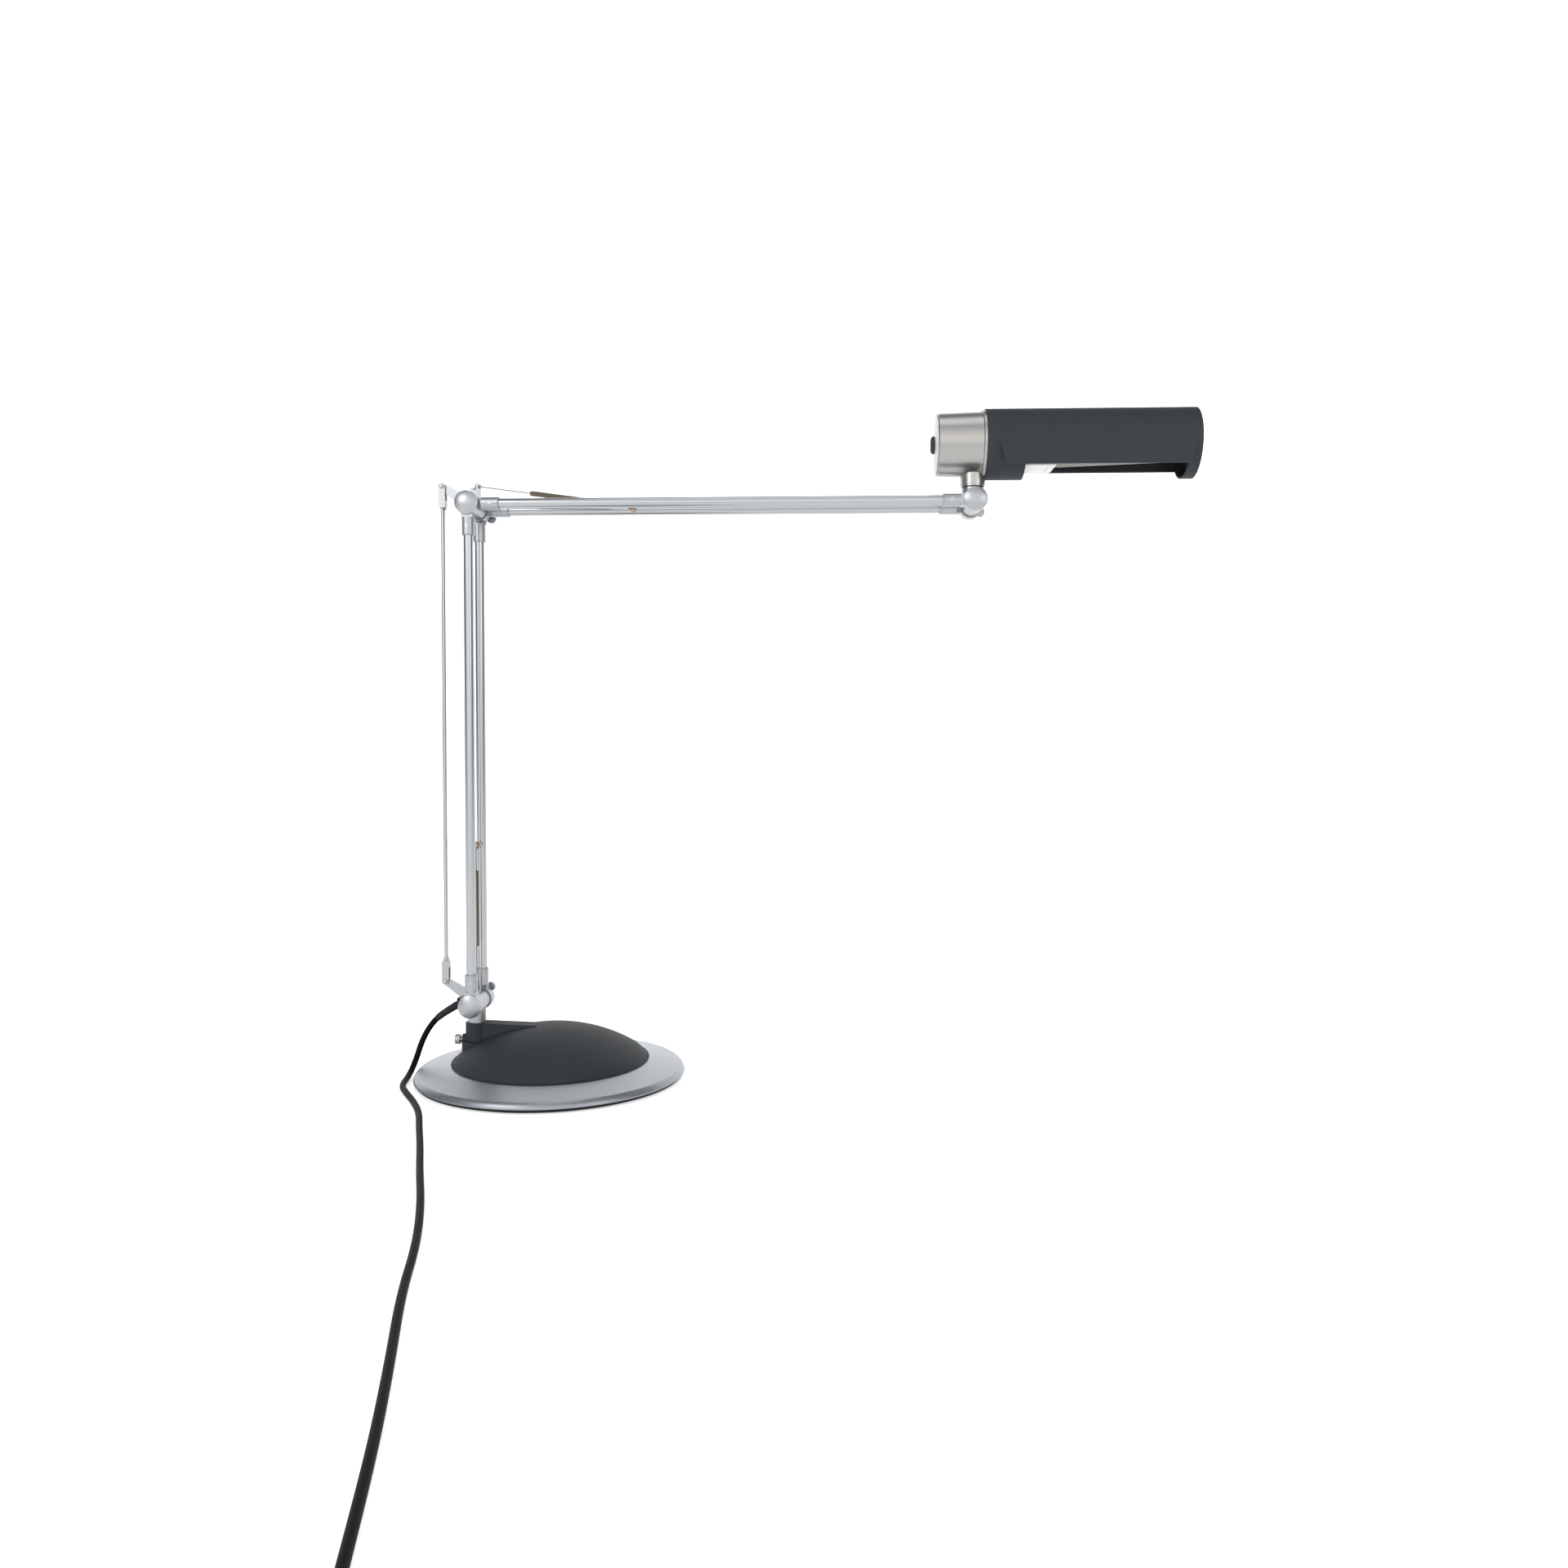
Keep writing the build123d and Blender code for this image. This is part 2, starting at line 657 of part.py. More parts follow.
write(placed(bolt(), elbow_pivot), "elbow_pivot_bolt")
write(placed(washers(), elbow_pivot), "elbow_washers")
write(placed(cap(), elbow_pivot), "elbow_pivot_cap")
write(placed(knob(knob_angles["elbow"]), elbow_pivot), "elbow_tension_knob")

# ---------------------------------------------------------------- upper arm

end_frame = Location((end_x, 0, elbow_z), (0, -90, 0))
hook_x = tab_x + tab_t - horn_r  # the spring's wire starts on the tab's right face

write(placed(tubes(), upper_arm_frame), "upper_tubes")
write(placed(knuckles(*inner_half), upper_arm_frame), "upper_elbow_knuckles")
write(placed(knuckles(cheek_in, cheek_out), end_frame), "upper_end_knuckles")
write(placed(cross_pin(), upper_arm_frame), "upper_cross_pin")
write(placed(lead(), upper_arm_frame), "upper_arm_lead")
write(placed(spring(-horn_z, hook_x), upper_arm_frame), "upper_spring")

# ---------------------------------------------------------------- head bracket


def neck_lead(r, top):
    """The flex up the middle of the neck, or with a larger radius the bore for it."""
    with BuildPart() as form:
        with BuildSketch(Plane.XY.offset(elbow_z + neck_lead_low)):
            with Locations((end_x, 0)):
                Circle(r)
        extrude(amount=top - neck_lead_low)
    return form.part


with BuildPart() as head_hinge_block:
    with Locations(end_pivot):
        with BuildSketch(Plane.XZ.offset(0)):
            with Locations((end_x, elbow_z)):
                Circle(barrel_r)
        extrude(amount=barrel_half, both=True)
    with BuildSketch(Plane.XY.offset(elbow_z + neck_low)):
        with Locations((end_x, 0)):
            Circle(neck_r)
    extrude(amount=neck_top - neck_low)
    chamfer(head_hinge_block.faces().sort_by(Axis.Z)[-1].edges(), 0.6)
    with BuildSketch(Plane.XY.offset(elbow_z + neck_top)):
        with Locations((end_x, 0)):
            Circle(neck_spigot_r)
    extrude(amount=neck_spigot_top - neck_top)
    with BuildSketch(Plane.XZ):
        with Locations((end_x, elbow_z)):
            Circle(bolt_r + slip)
    extrude(amount=barrel_half + 1, both=True, mode=Mode.SUBTRACT)
    add(neck_lead(lead_r + slip, neck_lead_top), mode=Mode.SUBTRACT)
write(head_hinge_block.part, "head_hinge_block")

write(placed(bolt(), end_pivot), "head_pivot_bolt")
write(placed(washers(), end_pivot), "head_washers")
write(placed(cap(), end_pivot), "head_pivot_cap")
write(placed(knob(knob_angles["head"]), end_pivot), "head_tension_knob")

write(neck_lead(lead_r, neck_lead_top), "head_lead")

# ---------------------------------------------------------------- head


def turned(*outline):
    """A form turned about the head's axis, from (x from the neck, radius) points."""
    with BuildPart() as form:
        with BuildSketch(Plane.XZ):
            Polygon(*((end_x + x, head_z + r) for x, r in outline), align=None)
        revolve(axis=head_axis)
    return form.part


def domed(edge_x, edge_r, bulge, hole_r=0):
    """A disc across the head's axis with a flat back at edge_x and a bulged face."""
    side = 1 if bulge > 0 else -1
    rise, r = quarter_point(edge_r, abs(bulge) - end_edge_t)
    rim = (end_x + edge_x + side * end_edge_t, head_z + edge_r)
    between = (rim[0] + side * rise, head_z + r)
    crown = (end_x + edge_x + bulge, head_z)
    with BuildPart() as form:
        with BuildSketch(Plane.XZ):
            with BuildLine():
                ThreePointArc(rim, between, crown)
                Polyline(
                    crown, (end_x + edge_x, head_z), (end_x + edge_x, head_z + edge_r), rim
                )
            make_face()
        revolve(axis=head_axis)
        if hole_r:
            with BuildSketch(Plane.YZ.offset(end_x + edge_x - abs(bulge))):
                with Locations((0, head_z)):
                    Circle(hole_r)
            extrude(amount=2 * abs(bulge), mode=Mode.SUBTRACT)
    return form.part


def head_disc(x, r, length):
    """A cylinder on the head's axis that starts at x from the neck."""
    return turned((x, 0), (x, r), (x + length, r), (x + length, 0))


housing_web = 2.0
with BuildPart() as lamp_housing:
    add(
        turned(
            (housing_left, housing_left_r - housing_wall),
            (housing_left, housing_left_r - 0.6),
            (housing_left + 0.6, housing_left_r),
            (housing_right, housing_right_r),
            (housing_right, hub_r + run),
            (housing_right - housing_web, hub_r + run),
            (housing_right - housing_web, housing_right_r - housing_wall),
        )
    )
    with BuildSketch(Plane.XY.offset(elbow_z + neck_top)):
        with Locations((end_x, 0)):
            Circle(neck_spigot_r - 2)
    extrude(amount=head_rise - neck_top, mode=Mode.SUBTRACT)
write(lamp_housing.part, "lamp_housing")

write(
    domed(housing_left - seat, housing_left_r - 0.6, -end_bulge, button_r + 2 * slip),
    "housing_end_cap",
)
write(
    turned(
        (housing_right + seat, hub_r + run),
        (housing_right + seat, rim_r - 0.5),
        (housing_right + seat + 0.5, rim_r),
        (housing_right + rim_t, rim_r),
        (housing_right + rim_t, hub_r + run),
    ),
    "housing_rim",
)

with BuildPart() as neck_collar:
    with BuildSketch(Plane.XY.offset(elbow_z + neck_top + run)):
        with Locations((end_x, 0)):
            Circle(collar_r - collar_groove)
    extrude(amount=collar_groove_h)
    with BuildSketch(Plane.XY.offset(elbow_z + neck_top + run + collar_groove_h)):
        with Locations((end_x, 0)):
            Circle(collar_r)
    extrude(amount=head_rise - housing_left_r / 2 - neck_top)
    with BuildSketch(Plane.XY.offset(elbow_z + neck_top)):
        with Locations((end_x, 0)):
            Circle(neck_spigot_r + slip)
    extrude(amount=neck_spigot_top - neck_top + run, mode=Mode.SUBTRACT)
    with BuildSketch(Plane.XY.offset(elbow_z + neck_top)):
        with Locations((end_x, 0)):
            Circle(neck_spigot_r - 2)
    extrude(amount=head_rise, mode=Mode.SUBTRACT)
    add(
        turned(
            (housing_left, 0),
            (housing_left, housing_left_r + seat),
            (housing_right, housing_right_r + seat),
            (housing_right, rim_r + seat),
            (housing_right + rim_t, rim_r + seat),
            (housing_right + rim_t, shade_r + run),
            (collar_r + run, shade_r + run),
            (collar_r + run, 0),
        ),
        mode=Mode.SUBTRACT,
    )
write(neck_collar.part, "neck_collar")

button_face = housing_left - end_bulge - button_stands
switch_x = housing_left + button_travel + 2.0
with BuildPart() as switch_body:
    add(head_disc(switch_x, switch_r, switch_length))
    add(
        head_disc(switch_x - 1, button_stem_r + run, button_travel + 5),
        mode=Mode.SUBTRACT,
    )
    with Locations((end_x + switch_x + switch_length - 1, 0, head_z)):
        Box(2, 2 * (housing_left_r - housing_wall - 0.8), 6)
    add(head_disc(switch_x - 1, button_stem_r + run, button_travel + 5), mode=Mode.SUBTRACT)
write(switch_body.part, "switch_body")

with BuildPart() as switch_button:
    add(head_disc(button_face + 1.2, button_r, housing_left - 0.2 - button_face - 1.2))
    add(
        turned(
            (button_face, 0), (button_face, button_r - 1.6), (button_face + 1.2, button_r),
            (button_face + 1.2, 0),
        )
    )
    add(head_disc(housing_left - 0.2, button_stem_r, switch_x + 2 - housing_left + 0.2))
write(switch_button.part, "switch_button")

with BuildPart() as ballast:
    with Locations((end_x + ballast_x, 0, head_z + ballast_up)):
        Box(*ballast_size)
    fillet(ballast.edges().filter_by(Axis.X), 2)
    foot_low = head_z - housing_left_r + housing_wall
    with Locations((end_x + ballast_x, 0, (foot_low + head_z) / 2)):
        Box(4, 10, head_z - foot_low)
write(ballast.part, "ballast")

# ---------------------------------------------------------------- shade

shade_start = housing_right + rim_t + run
with BuildPart() as shade:
    add(
        turned(
            (shade_start, hub_bore_r),
            (shade_start, shade_r),
            (shade_end, shade_r),
            (shade_end, shade_r - shade_wall),
            (shade_start + shade_wall, shade_r - shade_wall),
            (shade_start + shade_wall, hub_bore_r),
        )
    )
    add(
        turned(
            (shade_start - hub_length, hub_bore_r),
            (shade_start - hub_length, hub_r),
            (shade_start + 0.2, hub_r),
            (shade_start + 0.2, hub_bore_r),
        )
    )
    with BuildSketch(Plane.YZ.offset(end_x + window_start)):
        reach = 2 * shade_r
        front, back = radians(window_front), radians(window_back)
        Polygon(
            (0, head_z),
            (-reach * sin(front), head_z - reach * cos(front)),
            (-reach, head_z - reach),
            (reach, head_z - reach),
            (reach * sin(back), head_z - reach * cos(back)),
            align=None,
        )
    extrude(amount=window_end - window_start, mode=Mode.SUBTRACT)
    with BuildSketch(Plane.XZ.offset(shade_r - skirt_t)):
        Polygon(
            (end_x + skirt_top_span[0], head_z),
            (end_x + skirt_top_span[1], head_z),
            (end_x + skirt_low_span[1], head_z - skirt_h),
            (end_x + skirt_low_span[0], head_z - skirt_h),
            align=None,
        )
    extrude(amount=skirt_t)
    low_corners = (
        shade.edges()
        .filter_by(Axis.Y)
        .filter_by(lambda e: abs(e.center().Z - head_z + skirt_h) < 0.01)
    )
    fillet(low_corners, 2.5)
write(shade.part, "shade")

write(domed(shade_end + seat, shade_r, shade_cap_bulge), "shade_end_cap")

with BuildPart() as lamp_holder:
    with BuildSketch(Plane.XZ):
        start = end_x + shade_start + shade_wall + seat
        Polygon(
            (start, head_z + holder_low),
            (end_x + holder_end, head_z + holder_low),
            (end_x + holder_end, head_z + holder_top),
            (start, head_z + holder_top),
            align=None,
        )
    extrude(amount=holder_w / 2, both=True)
    fillet(
        lamp_holder.edges().filter_by(Axis.Y).group_by(Axis.X)[-1].sort_by(Axis.Z)[0],
        holder_round,
    )
    with Locations((end_x + holder_seam_x, 0, head_z + holder_low)):
        Box(holder_seam, holder_w, 2 * holder_seam, mode=Mode.SUBTRACT)
    with Locations((end_x + holder_end - 4, 0, head_z + lamp_up)):
        Box(8 + seat, 24 + slip, 8 + slip, mode=Mode.SUBTRACT)
write(lamp_holder.part, "lamp_holder")

with BuildPart() as reflector:
    add(
        turned(
            (holder_end + 1, reflector_r - reflector_t),
            (holder_end + 1, reflector_r),
            (reflector_end, reflector_r),
            (reflector_end, reflector_r - reflector_t),
        )
    )
    with BuildSketch(Plane.XZ):
        Polygon(
            (end_x + holder_end, head_z + reflector_low_start),
            (end_x + reflector_end + 1, head_z + reflector_low_end),
            (end_x + reflector_end + 1, head_z - 2 * shade_r),
            (end_x + holder_end, head_z - 2 * shade_r),
            align=None,
        )
    extrude(amount=2 * shade_r, both=True, mode=Mode.SUBTRACT)
write(reflector.part, "reflector")

with BuildPart() as lamp_base:
    with Locations((end_x + holder_end - 3.5, 0, head_z + lamp_up)):
        Box(7, 24, 8)
    with Locations((end_x + holder_end + seat + lamp_base_t / 2, 0, head_z + lamp_up)):
        Box(lamp_base_t, 32, 17)
    fillet(lamp_base.faces().sort_by(Axis.X)[-1].edges(), 1.5)
    with BuildSketch(Plane.YZ.offset(end_x + holder_end + lamp_base_t - 5)):
        with Locations((-lamp_spread, head_z + lamp_up), (lamp_spread, head_z + lamp_up)):
            Circle(lamp_r + slip)
    extrude(amount=10, mode=Mode.SUBTRACT)
write(lamp_base.part, "lamp_base")

with BuildPart() as lamp_tubes:
    tube_start = end_x + holder_end + lamp_base_t - 5 + seat
    with BuildSketch(Plane.YZ.offset(tube_start)):
        with Locations((-lamp_spread, head_z + lamp_up), (lamp_spread, head_z + lamp_up)):
            Circle(lamp_r)
    extrude(amount=end_x + lamp_end - tube_start)
    fillet(lamp_tubes.faces().sort_by(Axis.X)[-2:].edges(), 2.5)
    with Locations((end_x + lamp_end - 8, 0, head_z + lamp_up)):
        Box(6, 2 * lamp_spread - lamp_r, 7)
write(lamp_tubes.part, "lamp_tubes")

# ---------------------------------------------------------------- mains cord

gland_base = gland_start + Vector(post_x, 0, pivot_z)
gland_tip = gland_base + gland_dir * gland_reach

with BuildPart() as cable_gland:
    with BuildSketch(
        Plane(
            gland_tip - gland_dir * gland_length, x_dir=(0, 1, 0), z_dir=gland_dir
        )
    ):
        Circle(gland_r)
    extrude(amount=gland_length - gland_reach + gland_boss_length)
    with BuildSketch(
        Plane(gland_base + gland_dir * gland_boss_length, x_dir=(0, 1, 0), z_dir=gland_dir)
    ):
        Circle(gland_r)
    with BuildSketch(Plane(gland_tip, x_dir=(0, 1, 0), z_dir=gland_dir)):
        Circle(gland_tip_r)
    loft()
write(cable_gland.part, "cable_gland")

# The cord's route. It leaves the gland to the left, drops past the base's edge, bends
# forward on the table and follows the base round, then runs out to the front.
lie_z = cord_r + 0.1
drop_route = [
    tuple(gland_tip),
    tuple(gland_tip + gland_dir * 11.3),
    (-98.2, 4.2, 46.0),
    (-106.0, 7.0, 36.5),
    (-111.5, 7.0, 25.4),
    (-113.8, 2.9, 14.9),
    (-115.0, -5.2, 6.8),
    (-115.2, -16.0, lie_z),
    (-113.6, -27.2, lie_z),
]
floor_route = [
    (-113.6, -27.2, lie_z),
    (-111.5, -41.9, lie_z),
    (-101.0, -61.5, lie_z),
    (-87.5, -84.0, lie_z),
    (-73.5, -112.0, lie_z),
    (-61.0, -149.0, lie_z),
    (-47.5, -187.0, lie_z),
    (-31.0, -237.0, lie_z),
    (-12.0, -291.0, lie_z),
    (5.5, -350.0, lie_z),
    (19.0, -413.0, lie_z),
    (36.5, -476.0, lie_z),
    (53.0, -539.0, lie_z),
    (67.5, -602.0, lie_z),
    (78.5, -657.0, lie_z),
]


def cord_tube(name, route):
    """A round cord along the route, with an arc at each corner as large as its runs allow."""
    points = [Vector(*p) for p in route]
    runs = [b - a for a, b in zip(points, points[1:])]
    radii = [
        0.45 * min(a.length, b.length) / tan(radians(a.get_angle(b)) / 2)
        for a, b in zip(runs, runs[1:])
    ]
    with BuildPart() as cord:
        with BuildLine() as path:
            FilletPolyline(*points, radius=radii)
        with BuildSketch(Plane(points[0], z_dir=runs[0].normalized())):
            Circle(cord_r)
        sweep(path=path.wires()[0])
    length = path.wires()[0].length
    share = cord.part.volume / (pi * cord_r**2 * length)
    print(name, f"{length:.1f} mm, radii", [round(r) for r in radii], f"volume share {share:.4f}")
    write(cord.part, name)
    return length


laid = cord_tube("mains_cord_drop", drop_route) + cord_tube("mains_cord_floor", floor_route)

# The spare length is wound into a flat coil beside the end of the run.
arrive = Vector(*floor_route[-1])
heading = (arrive - Vector(*floor_route[-2])).normalized()
coil_half_w = coil_columns * cord_r
outer_turn_r = coil_turn_r + coil_half_w - cord_r
coil_centre = arrive + Vector(-heading.Y, heading.X, 0) * outer_turn_r + heading * 9
coil_top = 2 * cord_r * coil_rows + 0.2
with BuildPart() as mains_cord_coil:
    with BuildSketch(Plane.XY.offset(0.1)):
        with Locations((coil_centre.X, coil_centre.Y)):
            Circle(coil_turn_r + coil_half_w)
            Circle(coil_turn_r - coil_half_w, mode=Mode.SUBTRACT)
    extrude(amount=coil_top)
    fillet(mains_cord_coil.edges().group_by(Axis.Z)[-1], cord_r)
write(mains_cord_coil.part, "mains_cord_coil")

plug_mid = Vector(
    coil_centre.X + plug_ahead + plug_neck + plug_length / 2,
    coil_centre.Y - plug_aside,
    plug_t / 2 + 0.1,
)
with BuildPart() as mains_plug:
    with Locations(plug_mid):
        Box(plug_length, plug_w, plug_t)
    fillet(mains_plug.edges().filter_by(Axis.X), 4)
    with BuildSketch(Plane.YZ.offset(plug_mid.X - plug_length / 2)):
        with Locations((plug_mid.Y, plug_mid.Z)):
            Circle(4.6)
    extrude(amount=-plug_neck, taper=8)
    with BuildSketch(Plane.YZ.offset(plug_mid.X + plug_length / 2)):
        with Locations((plug_mid.Y, plug_mid.Z)):
            with GridLocations(plug_pin_spread, 1, 2, 1):
                Circle(plug_pin_r)
    extrude(amount=plug_pin_length)
write(mains_plug.part, "mains_plug")

print(f"cord laid out {laid:.0f} mm, coil centre {coil_centre.X:.1f} {coil_centre.Y:.1f}")
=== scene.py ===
"""Swing arm desk lamp: the visual model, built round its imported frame."""

import math

import bmesh
import bpy
from bpy.props import FloatProperty, FloatVectorProperty, IntProperty, PointerProperty
from mathutils import Matrix, Vector


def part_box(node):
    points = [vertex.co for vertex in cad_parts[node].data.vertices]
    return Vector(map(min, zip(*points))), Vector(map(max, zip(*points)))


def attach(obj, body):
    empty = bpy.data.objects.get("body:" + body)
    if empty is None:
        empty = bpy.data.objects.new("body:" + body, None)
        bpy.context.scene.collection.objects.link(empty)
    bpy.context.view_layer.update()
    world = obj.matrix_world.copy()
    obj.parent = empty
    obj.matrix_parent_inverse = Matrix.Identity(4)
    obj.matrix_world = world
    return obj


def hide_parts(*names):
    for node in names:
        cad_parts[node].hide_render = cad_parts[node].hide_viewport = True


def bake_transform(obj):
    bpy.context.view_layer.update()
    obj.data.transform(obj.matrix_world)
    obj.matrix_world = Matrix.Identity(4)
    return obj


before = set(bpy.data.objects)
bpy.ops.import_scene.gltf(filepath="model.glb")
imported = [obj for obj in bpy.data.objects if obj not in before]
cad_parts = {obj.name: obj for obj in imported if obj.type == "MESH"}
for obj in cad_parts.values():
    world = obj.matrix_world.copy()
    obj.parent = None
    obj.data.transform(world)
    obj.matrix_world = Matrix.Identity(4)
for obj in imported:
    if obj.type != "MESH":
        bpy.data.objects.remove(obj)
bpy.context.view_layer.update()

bl_info = {
    "name": "Swing arm desk lamp",
    "version": (1, 0, 0),
    "blender": (4, 5, 0),
    "location": "View3D > Sidebar > Desk Lamp",
    "description": "Springs, mains lead, fine fittings and finishes of a swing arm desk lamp",
    "category": "Object",
}

MM = 0.001


# ---------------------------------------------------------------- places from the frame

# Places are in metres. The bare sizes next to them are in millimetres and take MM in use.


def middle(node):
    """The middle of a node's box."""
    low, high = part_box(node)
    return (low + high) / 2


LOWER_PIVOT = middle("lower_washers")
ELBOW_PIVOT = middle("elbow_washers")
END_PIVOT = middle("head_washers")
TIE_PIN_R = 1.45 * MM
TIE_LOW_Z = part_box("tie_rod_pins")[0].z + TIE_PIN_R
TIE_HIGH_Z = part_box("tie_rod_pins")[1].z - TIE_PIN_R
TIE_X = middle("tie_rod").x
EYE_RISE = 17
UPPER_EYE_AHEAD = 4.8
LOWER_EYE = LOWER_PIVOT + Vector((0, 0, EYE_RISE * MM))
LOWER_PIN = middle("lower_cross_pin")
UPPER_EYE = ELBOW_PIVOT + Vector((UPPER_EYE_AHEAD, 0, EYE_RISE)) * MM
UPPER_PIN = middle("upper_cross_pin")
TUBE_Y = 16
Y_AXIS = Vector((0, 1, 0))

# The lead's route in metres: down from the gland past the base's edge, forward round the
# base on the table and out to the front.
LEAD_ROUTE = [
    (-0.07891, 0.0, 0.0589),
    (-0.0887, 0.0, 0.05325),
    (-0.0982, 0.0042, 0.046),
    (-0.106, 0.007, 0.0365),
    (-0.1115, 0.007, 0.0254),
    (-0.1138, 0.0029, 0.0149),
    (-0.115, -0.0052, 0.0068),
    (-0.1152, -0.016, 0.0025),
    (-0.1115, -0.0419, 0.0025),
    (-0.101, -0.0615, 0.0025),
    (-0.0875, -0.084, 0.0025),
    (-0.0735, -0.112, 0.0025),
    (-0.061, -0.149, 0.0025),
    (-0.0475, -0.187, 0.0025),
    (-0.031, -0.237, 0.0025),
    (-0.012, -0.291, 0.0025),
    (0.0055, -0.35, 0.0025),
    (0.019, -0.413, 0.0025),
    (0.0365, -0.476, 0.0025),
    (0.053, -0.539, 0.0025),
    (0.0675, -0.602, 0.0025),
    (0.0785, -0.657, 0.0025),
]
LEAD_R = 0.0024


# ---------------------------------------------------------------- shader expressions


class Link:
    """A node's output in a Python expression: each operator adds its Math node."""

    def __init__(self, finish, socket):
        self.finish = finish
        self.socket = socket

    def math(self, operation, first, second):
        return self.finish.node("ShaderNodeMath", {"operation": operation}, {0: first, 1: second})

    def __add__(self, other):
        return self.math("ADD", self, other)

    def __radd__(self, other):
        return self.math("ADD", other, self)

    def __sub__(self, other):
        return self.math("SUBTRACT", self, other)

    def __rsub__(self, other):
        return self.math("SUBTRACT", other, self)

    def __mul__(self, other):
        return self.math("MULTIPLY", self, other)

    def __rmul__(self, other):
        return self.math("MULTIPLY", other, self)


class Finish:
    """A material under construction round its Principled shader."""

    def __init__(self, name, **constants):
        self.material = bpy.data.materials.new(name)
        self.material.use_nodes = True
        self.tree = self.material.node_tree
        self.shader = self.tree.nodes["Principled BSDF"]
        for socket, value in constants.items():
            self.shader.inputs[socket.replace("_", " ")].default_value = value

    @classmethod
    def over(cls, tree, shader):
        """The same expressions on a tree that is already there, such as the world's."""
        finish = cls.__new__(cls)
        finish.tree = tree
        finish.shader = tree.nodes[shader]
        return finish

    def node(self, kind, settings=None, inputs=None, output=0):
        node = self.tree.nodes.new(kind)
        for key, value in (settings or {}).items():
            if key == "stops":
                for element, (place, colour) in zip(node.color_ramp.elements, value):
                    element.position = place
                    element.color = colour
            else:
                setattr(node, key, value)
        for key, value in (inputs or {}).items():
            self.feed(node.inputs[key], value)
        return Link(self, node.outputs[output])

    def feed(self, socket, value):
        if isinstance(value, Link):
            self.tree.links.new(value.socket, socket)
        else:
            socket.default_value = value

    def set(self, socket, value):
        self.feed(self.shader.inputs[socket], value)

    def place(self, stretch=(1, 1, 1)):
        """Object coordinates in metres, scaled along each axis."""
        where = self.node("ShaderNodeTexCoord", output=3)
        return self.node("ShaderNodeMapping", None, {"Vector": where, "Scale": stretch})

    def noise(self, scale, detail=3.0, rough=0.55, stretch=(1, 1, 1)):
        return self.node(
            "ShaderNodeTexNoise",
            None,
            {"Vector": self.place(stretch), "Scale": scale, "Detail": detail, "Roughness": rough},
        )

    def blend(self, factor, low, high):
        """One colour over another by a factor."""
        return self.node(
            "ShaderNodeMix", {"data_type": "RGBA"}, {0: factor, 6: rgba(low), 7: rgba(high)}, 2
        )

    def bump(self, height, depth, strength=1.0):
        normal = self.node(
            "ShaderNodeBump", None, {"Height": height, "Distance": depth, "Strength": strength}
        )
        self.set("Normal", normal)

    def clear_range(self, value, low, high):
        """A value's range from low to high stretched to 0..1, and cut off outside it."""
        return self.node(
            "ShaderNodeMapRange",
            {"clamp": True},
            {"Value": value, "From Min": low, "From Max": high},
        )


def rgba(colour):
    """A colour socket's value: a node's output as it is, three numbers with an alpha of 1."""
    return colour if isinstance(colour, Link) else (*colour, 1.0)


def shade_of(colour, share):
    """A colour made darker or lighter by a share."""
    return tuple(channel * share for channel in colour)


def moulded(name, colour, grain=0.00012, rough=0.62):
    """Spark-eroded plastic: fine pebble grain, faint mottling, soft rub marks."""
    finish = Finish(name, Specular_IOR_Level=0.3)
    pebble = finish.noise(1500, 4.0)
    cloud = finish.noise(38, 5.0, 0.6)
    rubbed = finish.clear_range(finish.noise(14, 6.0, 0.7), 0.52, 0.78)
    mottled = finish.blend(cloud, shade_of(colour, 0.82), shade_of(colour, 1.2))
    finish.set("Base Color", finish.blend(pebble * 0.5, mottled, shade_of(colour, 1.35)))
    finish.set("Roughness", rough + 0.1 * pebble - 0.07 * rubbed)
    finish.bump(pebble, grain, 0.6)
    return finish.material


def satin_paint(name, colour, rough=0.36, metallic=0.75, fleck=0.12):
    """Silver paint: metal flake under a satin coat, with slight orange peel."""
    finish = Finish(name, Coat_Roughness=0.25)
    flake = finish.noise(5200, 2.0)
    peel = finish.noise(420, 2.0)
    cloud = finish.noise(22, 4.0)
    base = finish.blend(flake, shade_of(colour, 1 - fleck), shade_of(colour, 1 + fleck))
    finish.set("Base Color", finish.blend(cloud * 0.35, base, shade_of(colour, 0.86)))
    finish.set("Metallic", metallic)
    finish.set("Coat Weight", 0.15)
    finish.set("Roughness", rough + 0.08 * (cloud - 0.5) + 0.05 * flake)
    finish.bump(peel, 0.00003, 0.5)
    return finish.material


def drawn_metal(name, colour, rough, stretch, streak=900, wear=0.1, relief=0.5):
    """Bare metal with fine lines along its length."""
    finish = Finish(name)
    lines = finish.noise(streak, 5.0, 0.65, stretch)
    cloud = finish.noise(30, 4.0)
    base = finish.blend(lines, shade_of(colour, 1 - wear), shade_of(colour, 1 + wear))
    finish.set("Base Color", finish.blend(cloud * 0.3, base, shade_of(colour, 0.9)))
    finish.set("Metallic", 1.0)
    finish.set("Roughness", rough + 0.2 * relief * (lines - 0.5) + 0.06 * (cloud - 0.5))
    finish.bump(lines, 0.00002, relief)
    return finish.material


def rubber(name, colour, rough=0.55, gloss=0.4):
    """Black rubber or flexible jacket with dust in its pores."""
    finish = Finish(name, Specular_IOR_Level=gloss)
    pores = finish.noise(2200, 3.0)
    dust = finish.clear_range(finish.noise(60, 5.0, 0.7), 0.5, 0.85)
    finish.set("Base Color", finish.blend(dust * 0.3, colour, shade_of(colour, 2.2)))
    finish.set("Roughness", rough + 0.15 * (pores - 0.5) + 0.1 * dust)
    finish.bump(pores, 0.00004, 0.5)
    return finish.material


